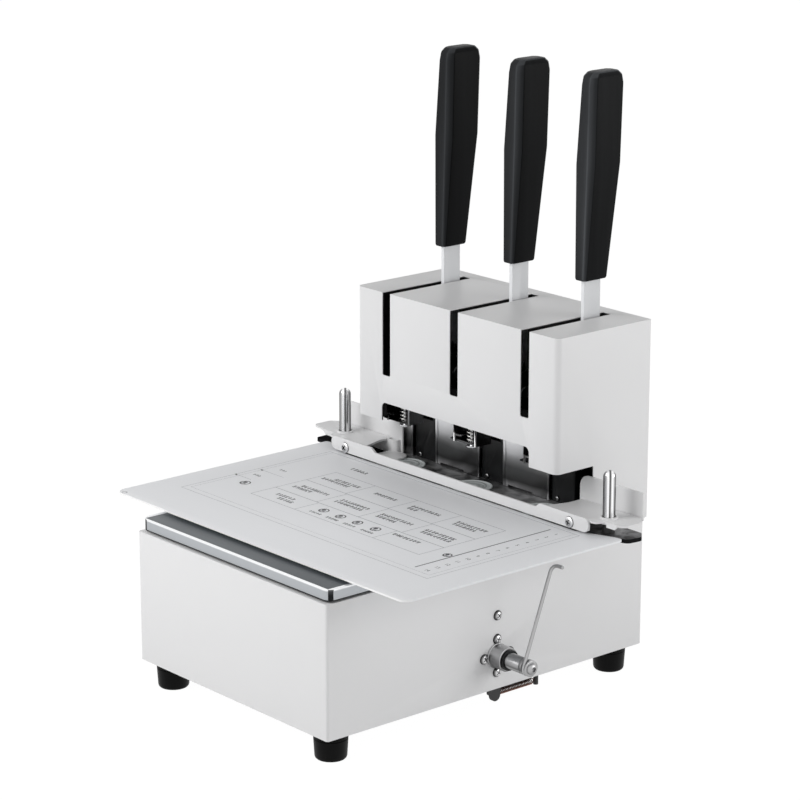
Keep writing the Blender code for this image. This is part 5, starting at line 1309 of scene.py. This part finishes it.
def arm_path():
    points = []
    for step in range(EYE_STEPS + 1):
        angle = math.pi - ARM_LEAN + math.radians(290) * (1 - step / EYE_STEPS)
        eye = (WIRE_X, ARM.y + EYE_RADIUS * math.cos(angle), ARM.z + EYE_RADIUS * math.sin(angle))
        points.append(Vector(eye))
    along = Vector((0, math.sin(ARM_LEAN), math.cos(ARM_LEAN)))
    corner = points[-1] + along * ((TIP_TOP - ARM_WIRE - points[-1].z) / math.cos(ARM_LEAN))
    points.append((points[-1] + corner) / 2)
    for step in range(BEND_STEPS + 1):
        turn = math.pi / 2 * step / BEND_STEPS
        outwards = Vector((BEND_RADIUS * (1 - math.cos(turn)), 0, 0))
        points.append(corner + along * BEND_RADIUS * (math.sin(turn) - 1) + outwards)
    points.append(corner + Vector((TIP_REACH, 0, 0)))
    return points


standing_for("arm_wire", swept(arm_path(), ARM_WIRE, 16), smooth=60)

# %% [markdown]
# The screw that holds the wire is a turned button head on a washer, with a hexagon socket.

# %% Screw of the wire arm
BUTTON_PROFILE = [
    (0, 4.1), (2.4, 3.9), (3.7, 3.1), (4.4, 1.8), (4.4, 1.1), (6.2, 1.1), (6.4, 0.9), (6.4, 0), (0, 0)]
BUTTON_X, SOCKET_FLOOR, SOCKET_RADIUS = 149.8, 151.8, 2.1
button = turned(BUTTON_PROFILE, (BUTTON_X, ARM.y, ARM.z), 48, "x")
hexagon = plate(circle(ARM.y, ARM.z, SOCKET_RADIUS, 6), SOCKET_FLOOR, SOCKET_FLOOR + 8.2, "x")
standing_for("arm_screw", eased(cut(button, hexagon), 0.1, 1), ZINC)

# %% [markdown] ### Return spring This spring hangs between the tail's pin, which turns with the
# arm, and a stud under the floor. Its path is one curve: a hook, close turns, and a hook.

# %% Return spring
HOOK, HOOK_STEPS = 2.6, 8
SPRING_X, SPRING_RADIUS, SPRING_WIRE = 104, 2.2, 0.45
SPRING_TURNS, TURN_STEPS = 24, 20


def hooked_spring(start, end):
    """Points of a tension spring along y, with a half loop at both ends."""
    coil_start, coil_end = start.y + HOOK, end.y - HOOK
    points = []
    for step in range(HOOK_STEPS + 1):
        turn = math.pi * (1 - step / HOOK_STEPS)
        points.append(Vector((start.x, coil_start - HOOK * math.sin(turn) * 0.95,
                              start.z + SPRING_RADIUS * math.cos(turn))))
    count = SPRING_TURNS * TURN_STEPS
    for step in range(1, count + 1):
        turn = math.tau * step / TURN_STEPS
        points.append(Vector((start.x + SPRING_RADIUS * math.sin(turn),
                              coil_start + (coil_end - coil_start) * step / count,
                              start.z + SPRING_RADIUS * math.cos(turn))))
    for step in range(1, HOOK_STEPS + 1):
        turn = math.pi * step / HOOK_STEPS
        points.append(Vector((end.x, coil_end + HOOK * math.sin(turn) * 0.95,
                              end.z + SPRING_RADIUS * math.cos(turn))))
    return points


low, high = span("return_spring")
start = Vector((SPRING_X, low.y, (low.z + high.z) / 2))
end = Vector((SPRING_X, high.y, start.z))
spring = piece("return_spring_shown", swept(hooked_spring(start, end), SPRING_WIRE, 8), None,
               "copper_steel", ("return_spring",), smooth=60)
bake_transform(spring)

# %% [markdown]
# ## Screws with Geometry Nodes
# All the small screws are one shape: a domed pan head with a cross recess. The tree makes the head
# once, puts a copy on every point of a mesh, turns each by a seeded random angle and faces it
# outwards. Separate screws would be the same work many times.

# %% A tree that places screws
def screw_tree():
    nodes, given, result = new_tree("pan_head_screws", {
        "Radius": 3.5, "Height": 2.0, "Recess": 1.9, "Facing": (1.0, 0.0, 0.0), "Seed": 3})
    radius, height, recess = (Value(nodes, given[name]) for name in ("Radius", "Height", "Recess"))

    def cube(size, lift):
        made = nodes.add("GeometryNodeMeshCube", {}, {"Size": size}).outputs[0]
        return nodes.add("GeometryNodeTransform", {}, {"Geometry": made, "Translation": lift}).outputs[0]

    ball = nodes.add("GeometryNodeMeshUVSphere", {}, {
        "Segments": 28, "Rings": 20, "Radius": 1.0}).outputs[0]
    ball = nodes.add("GeometryNodeTransform", {}, {
        "Geometry": ball, "Scale": nodes.vector(radius, radius, height)}).outputs[0]
    below = cube(nodes.vector(radius * 3, radius * 3, height * 2), nodes.vector(z=height * -1))
    long_bar = cube(nodes.vector(recess * 2, recess * 0.42, height), nodes.vector(z=height * 0.95))
    cross_bar = cube(nodes.vector(recess * 0.42, recess * 2, height), nodes.vector(z=height * 0.95))
    head = nodes.add("GeometryNodeMeshBoolean", {"operation": "DIFFERENCE"}, {"Mesh 1": ball})
    for tool in (below, long_bar, cross_bar):
        nodes.feed(head.inputs["Mesh 2"], tool)
    smooth = nodes.add("GeometryNodeSetShadeSmooth", {}, {"Geometry": head.outputs[0]}).outputs[0]
    spin = nodes.number("FunctionNodeRandomValue", {"data_type": "FLOAT"}, {
        3: 6.28, "Seed": given["Seed"]}, 1)
    turn = nodes.add("FunctionNodeAxisAngleToRotation", {}, {"Axis": (0, 0, 1), "Angle": spin}).outputs[0]
    aim = nodes.add("FunctionNodeAlignRotationToVector", {"axis": "Z"}, {
        "Vector": given["Facing"]}).outputs[0]
    rotation = nodes.add("FunctionNodeRotateRotation", {"rotation_space": "LOCAL"}, {
        0: aim, 1: turn}).outputs[0]
    copies = nodes.add("GeometryNodeInstanceOnPoints", {}, {
        "Points": given["Geometry"], "Instance": smooth, "Rotation": rotation}).outputs[0]
    return finish_tree(nodes, given, result, copies)


SCREWS = screw_tree()

# %% [markdown]
# The side wall, the back cover and the feet carry screws that the CAD leaves out. The column screws
# and the press screws stand for CAD nodes. Each group is one piece on one body.

# %% Screws of the machine
WALL = 113.25
BOSS_CIRCLE, SCREW_ABOVE_BOSS = 13.1, (WALL, 164.3, 79.7)
COVER_ROWS, COVER_SIDE = (145, 205, 265), 106.5


def screws(name, places, facing, body, size, replaces=(), finish=CHROME, slot="chrome"):
    """Heads of (radius, height, recess) at places, as one piece."""
    seed = bpy.data.meshes.new("places")
    seed.from_pydata([tuple(place) for place in places], [], [])
    heads = grown(SCREWS, seed, finish, **dict(zip(("radius", "height", "recess"), size)), facing=facing)
    return piece(name, heads, body, slot, replaces, finish)


boss_turns = (0, math.pi / 2, math.pi, -math.pi / 2)
around_boss = [(WALL, ARM.y + BOSS_CIRCLE * math.cos(turn), ARM.z + BOSS_CIRCLE * math.sin(turn))
               for turn in boss_turns]
screws("boss_screws", around_boss + [SCREW_ABOVE_BOSS], (1, 0, 0), "machine", (4.0, 2.3, 2.0),
       finish=SIDE_SCREW)
screws("cover_screws", [(x, cover_back, z) for z in COVER_ROWS for x in (-COVER_SIDE, COVER_SIDE)],
       (0, 1, 0), "machine", (3.4, 1.6, 1.8))
screws("foot_screws", FOOT_PLACES, (0, 0, -1), "machine", (4.6, 2.4, 2.4), finish=ZINC, slot="zinc")
screws("column_screw_heads", [(x - 6, 261.95, 141.5) for x in STATIONS.values()], (0, -1, 0), "machine",
       (2.2, 1.4, 1.3), [f"column_screw_{number}" for number in STATIONS], DULL_SCREW)
screws("press_screw_heads", [(-133.6, 221.95, 144.0), (128.8, 221.95, 144.3)], (0, -1, 0), "press_frame",
       (4.5, 1.9, 2.4), ["press_screw_left", "press_screw_right"], FRONT_SCREW)

# %% [markdown]
# ## Print on the table
# The table carries a printed frame, a chart and a scale. The print is a film of ink a few
# hundredths of a millimetre thick. Making it as thin blocks keeps its edges sharp at any distance,
# which an image on the table would not.

# %% Printed lines
INK_FILM = 0.03


def ink_line(a, b, width):
    """Flat printed line between two points of the table."""
    a, b = Vector(a), Vector(b)
    run = b - a
    turn = Matrix.Rotation(math.atan2(run.y, run.x), 4, "Z")
    centre = Vector(((a.x + b.x) / 2, (a.y + b.y) / 2, TABLE_TOP + INK_FILM / 2))
    mesh = block((-run.length / 2, -width / 2, -INK_FILM / 2), (run.length / 2, width / 2, INK_FILM / 2))
    mesh.transform(Matrix.Translation(centre) @ turn)
    return mesh


def printed_box(low, high, width):
    """Four printed lines around a rectangle."""
    (a, b), (c, d) = low, high
    sides = (((a, b), (c, b)), ((a, d), (c, d)), ((a, b), (a, d)), ((c, b), (c, d)))
    return [ink_line(*ends, width) for ends in sides]


def printed(name, meshes, ink=INK_DARK):
    return piece(name, joined(meshes), "machine", "table_paint", finish=ink)


print("the ink is", INK_FILM, "mm thick")

# %% [markdown]
# The chart is a grid of three rows, each with its own partitions. Two thin frames run round it, a
# dark bar runs along the scale, and two short lines with an arrow mark each stand at the left.

# %% Chart, frames and marks
CHART_LEFT, CHART_RIGHT = -98.5, 100.5
ROWS = (97.5, 122, 153, 183.5)
PARTITIONS = {153: (-50, 0.5, 51), 122: (-48, 2, 52.5), 97.5: (-44.5, 48)}
lines = printed_box((CHART_LEFT, ROWS[0]), (CHART_RIGHT, ROWS[-1]), 0.5)
lines += [ink_line((CHART_LEFT, y), (CHART_RIGHT, y), 0.65) for y in ROWS[1:-1]]
for front, back in zip(ROWS, ROWS[1:]):
    lines += [ink_line((x, front), (x, back), 0.5) for x in PARTITIONS[front]]
lines += printed_box((-147, 66.5), (145, 217), 0.4) + printed_box((-142.5, 72.5), (140, 217), 0.25)
lines += [ink_line((-142, 143), (-115, 143), 0.4), ink_line((-145, 120), (-127, 120), 0.4)]
printed("table_lines", lines, INK)
scale_bar = ink_line((120, 77), (120, 211), 1.1)
arrows = [ink_line((-143.8, 143.4), (-140.5, 142.2), 1.5), ink_line((-147.6, 120.6), (-144.2, 119.2), 1.5)]
printed("table_bars", [scale_bar] + arrows)

# %% [markdown]
# ### Rows of marks with Geometry Nodes
# The chart's words are shown by marks that can't be read. A tree sets marks on a line of points.
# Each mark has three level strokes of random length and one upright stroke at a random place.

# %% A tree that prints rows
def words_tree():
    nodes, given, result = new_tree("printed_row", {
        "Count": 8, "Pitch": 3.7, "Height": 3.0, "Stroke": 0.5, "Film": INK_FILM, "Seed": 1})
    height = Value(nodes, given["Height"])
    strokes = nodes.add("GeometryNodeJoinGeometry")

    def scattered(low, high, offset):
        seed = nodes.number("ShaderNodeMath", {"operation": "ADD"}, {0: given["Seed"], 1: offset})
        return nodes.add("FunctionNodeRandomValue", {"data_type": "FLOAT_VECTOR"}, {
            0: low, 1: high, "Seed": seed}).outputs[0]

    def stroke(shape, scale, shift):
        """One stroke on every point, added to the marks."""
        copies = nodes.add("GeometryNodeInstanceOnPoints", {}, {
            "Points": line, "Instance": shape, "Scale": scale}).outputs[0]
        moved = nodes.add("GeometryNodeTranslateInstances", {}, {
            "Instances": copies, "Translation": shift}).outputs[0]
        nodes.feed(strokes.inputs[0], moved)

    line = nodes.add("GeometryNodeMeshLine", {"mode": "OFFSET"}, {
        "Count": given["Count"], "Offset": nodes.vector(x=given["Pitch"])}).outputs[0]
    level = nodes.add("GeometryNodeMeshCube", {}, {
        "Size": nodes.vector(height, given["Stroke"], given["Film"])}).outputs[0]
    upright = nodes.add("GeometryNodeMeshCube", {}, {
        "Size": nodes.vector(given["Stroke"], height, Value(nodes, given["Film"]) * 1.1)}).outputs[0]
    for step in (-1, 0, 1):
        stroke(level, scattered((0.3, 1, 1), (1, 1, 1), step + 1), nodes.vector(y=height * (step * 0.42)))
    stroke(upright, scattered((1, 0.5, 1), (1, 1, 1), 3), scattered((-1.1, -0.3, 0), (1.1, 0.3, 0), 4))
    return finish_tree(nodes, given, result, strokes.outputs[0])


WORDS = words_tree()

# %% [markdown]
# Each row of the chart says from where to where its marks run. The seed comes from the row's place,
# so no two rows are alike and every run prints the same.

# %% Printed rows
SYMBOL_PLACES = (-27, -7, 13, 34)
CHART = {
    171: [(-84, -55), (-36, -9), (8, 43), (60, 92)], 165.7: [(-94, -62), (9, 21), (61, 87)],
    140.3: [(-88, -56), (-40, -8), (8, 45), (59, 94)], 134.7: [(-92, -71), (-41, -7), (9, 32), (60, 93)],
    112.5: [(-85, -64)], 106.5: [(-76, -58)], 115.5: [(51, 82)],
}


def printed_row(start, end, y, height=3.5, stroke=0.88, pitch=3.7):
    """Marks between two places of a row, as one mesh."""
    count = max(1, round((end - start) / pitch))
    row = grown(WORDS, bpy.data.meshes.new("seed"), INK_DARK, count=count, pitch=pitch, height=height,
                stroke=stroke, seed=int(start * 7 + y * 13) % 997)
    row.transform(Matrix.Translation((start + pitch / 2, y, TABLE_TOP + INK_FILM / 2)))
    return row


rows = [printed_row(start, end, y) for y, spans in CHART.items() for start, end in spans]
rows.append(printed_row(-99, -79, 199.5, height=3.8, stroke=0.95, pitch=4.0))
rows += [printed_row(x - 7, x + 7, 104, height=2.4, stroke=0.62, pitch=2.8) for x in SYMBOL_PLACES]
rows.append(printed_row(-138, -129, 131, height=2.4, stroke=0.55, pitch=3.0))
rows.append(printed_row(-134, -126, 154.5, height=2.2, stroke=0.5, pitch=3.0))
printed("table_words", rows)
print(len(rows), "rows of marks")

# %% [markdown]
# ### Symbols and numerals
# Four round symbols stand in the chart, one beside the scale and one at the left, and a small ring
# is printed near the table's front left corner. The scale counts from 1 to 14 towards the front.

# %% Symbols and numerals
SCALE_X, SCALE_FRONT, SCALE_STEP, SCALE_COUNT = 131.3, 78.5, 9.8, 14
SYMBOL_Y, SYMBOL_LINE = 112.5, 1.05


def printed_ring(x, y, radius, width):
    outline = plate(circle(x, y, radius), TABLE_TOP, TABLE_TOP + INK_FILM)
    return cut(outline, plate(circle(x, y, radius - width), TABLE_TOP - 1, TABLE_TOP + 1))


def symbol(x, y, radius):
    """Printed ring with a dot and a bar in it."""
    dot = circle(x - radius * 0.2, y + radius * 0.2, radius * 0.42, 16)
    bar = ink_line((x - radius * 0.6, y - radius * 0.48), (x + radius * 0.65, y - radius * 0.4), 0.9)
    disc = plate(dot, TABLE_TOP, TABLE_TOP + INK_FILM)
    return joined([printed_ring(x, y, radius, SYMBOL_LINE), disc, bar])


def numeral(number, x, y, size):
    """Printed numeral as a plain mesh, centred on its place."""
    curve = bpy.data.curves.new("numeral", "FONT")
    curve.body = str(number)
    curve.size = size
    curve.extrude = INK_FILM / 2
    curve.align_x = "CENTER"
    curve.align_y = "CENTER"
    curve.resolution_u = 3
    mesh = baked(shown(curve))
    mesh.transform(Matrix.Translation((x, y, TABLE_TOP + INK_FILM / 2)))
    return mesh


signs = [symbol(x, SYMBOL_Y, 4.4) for x in SYMBOL_PLACES]
signs += [symbol(115, SYMBOL_Y, 3.8), symbol(-123.5, 111.5, 4.6)]
signs.append(printed_ring(-164.5, 24.5, 2.2, 0.4))
signs += [numeral(SCALE_COUNT - step, SCALE_X, SCALE_FRONT + SCALE_STEP * step, 4.6)
          for step in range(SCALE_COUNT)]
printed("table_signs", signs)

# %% [markdown]
# ## Floor
# The floor and the world are plain. The camera, mirrors and glass see them white, so the background
# is white without more light on the machine. The Light Path node tells these rays from the others,
# for which the floor is a plain grey surface that throws a little light back.

# %% Rays that see plain white
def seen_white(nodes):
    """1 for the rays of the camera, of mirrors and of glass, and 0 for all others."""
    ray = nodes.add("ShaderNodeLightPath").outputs
    seen = Value(nodes, ray["Is Camera Ray"])
    for kind in ("Is Glossy Ray", "Is Transmission Ray"):
        seen = seen.math("MAXIMUM", Value(nodes, ray[kind]))
    return seen


print("plain white is seen by camera, glossy and transmission rays")

# %% Floor
FLOOR_HALF, FLOOR_FOOT, FLOOR_TOP = 4000, -20, -0.1
FLOOR_GLOW, GLOW_SHARE = 1.06, 0.93


def backdrop_material():
    material = bpy.data.materials.new("backdrop")
    material.use_nodes = True
    nodes = Nodes(material.node_tree)
    surface = nodes.tree.nodes["Principled BSDF"]
    surface.inputs["Base Color"].default_value = (0.86, 0.86, 0.86, 1)
    surface.inputs["Roughness"].default_value = 0.9
    glow = nodes.add("ShaderNodeEmission", {}, {"Color": (1, 1, 1, 1), "Strength": FLOOR_GLOW}).outputs[0]
    mix = nodes.add("ShaderNodeMixShader", {}, {
        0: seen_white(nodes) * GLOW_SHARE, 1: surface.outputs[0], 2: glow}).outputs[0]
    nodes.feed(nodes.tree.nodes["Material Output"].inputs["Surface"], mix)
    return material


floor_mesh = block((-FLOOR_HALF, -FLOOR_HALF, FLOOR_FOOT), (FLOOR_HALF, FLOOR_HALF, FLOOR_TOP))
floor_mesh.transform(TO_FRAME)
floor_mesh.materials.append(backdrop_material())
floor = bpy.data.objects.new("floor", floor_mesh)
bpy.context.scene.collection.objects.link(floor)
print("the floor lies at", FLOOR_TOP, "mm")

# %% [markdown]
# ## World
# The world gives the even light of a white room. It is darker straight above than at the horizon,
# so the walls get more light than the tops and the edges between them can be seen.

# %% World
HORIZON_LIGHT, LESS_ABOVE = 0.60, 0.34
world = bpy.data.worlds.new("studio")
world.use_nodes = True
bpy.context.scene.world = world
nodes = Nodes(world.node_tree)
up = nodes.split(nodes.add("ShaderNodeTexCoord").outputs["Generated"])[2]
lighting = HORIZON_LIGHT - up.math("MAXIMUM", 0) * LESS_ABOVE
sky = world.node_tree.nodes["Background"]
sky.inputs["Color"].default_value = (1, 1, 1, 1)
nodes.feed(sky.inputs["Strength"], lighting.math("MAXIMUM", seen_white(nodes)))
print("the world has", len(world.node_tree.nodes), "nodes")

# %% [markdown]
# ## Lamps
# Two large soft boxes light the machine: a strong one in front, a little to the left, and a weaker
# one at the right and behind, which models the right wall and the side arm.

# %% Lamps
def softbox(name, place, target, width, height, power):
    lamp = bpy.data.lights.new(name, "AREA")
    lamp.shape = "RECTANGLE"
    lamp.size = width
    lamp.size_y = height
    lamp.energy = power
    made = bpy.data.objects.new(name, lamp)
    made.location = place
    made.rotation_euler = (Vector(target) - Vector(place)).to_track_quat("-Z", "Y").to_euler()
    bpy.context.scene.collection.objects.link(made)
    print(name, "gives", power, "W")


softbox("front_softbox", (-0.35, -1.1, 0.9), (0, -0.04, 0.14), 1.0, 0.8, 9.6)
softbox("right_softbox", (1.15, 0.8, 0.5), (0.1, 0.05, 0.15), 0.9, 0.7, 6.2)

# %% [markdown]
# ## Camera
# The camera stands where the photographer stood: in front and to the right, above the table, with a
# long lens, so the machine's edges run nearly parallel.

# %% Camera
CAMERA_PLACE = Vector((1643.28, -1247.02, 819.30))
CAMERA_TARGET = Vector((18.43, 150, 228.7))
SENSOR, LENS = 36, 133.07
camera = bpy.data.cameras.new("camera")
camera.sensor_width = SENSOR
camera.lens = LENS
viewer = bpy.data.objects.new("camera", camera)
viewer.location = TO_FRAME @ CAMERA_PLACE
looking = TO_FRAME @ CAMERA_TARGET - viewer.location
viewer.rotation_euler = looking.to_track_quat("-Z", "Y").to_euler()
bpy.context.scene.collection.objects.link(viewer)
bpy.context.scene.camera = viewer
bpy.context.scene.view_settings.view_transform = "Standard"
print("the camera stands", round(looking.length, 2), "m away")

# %% [markdown]
# ## Size
# The dressed machine must keep the size of its CAD frame.
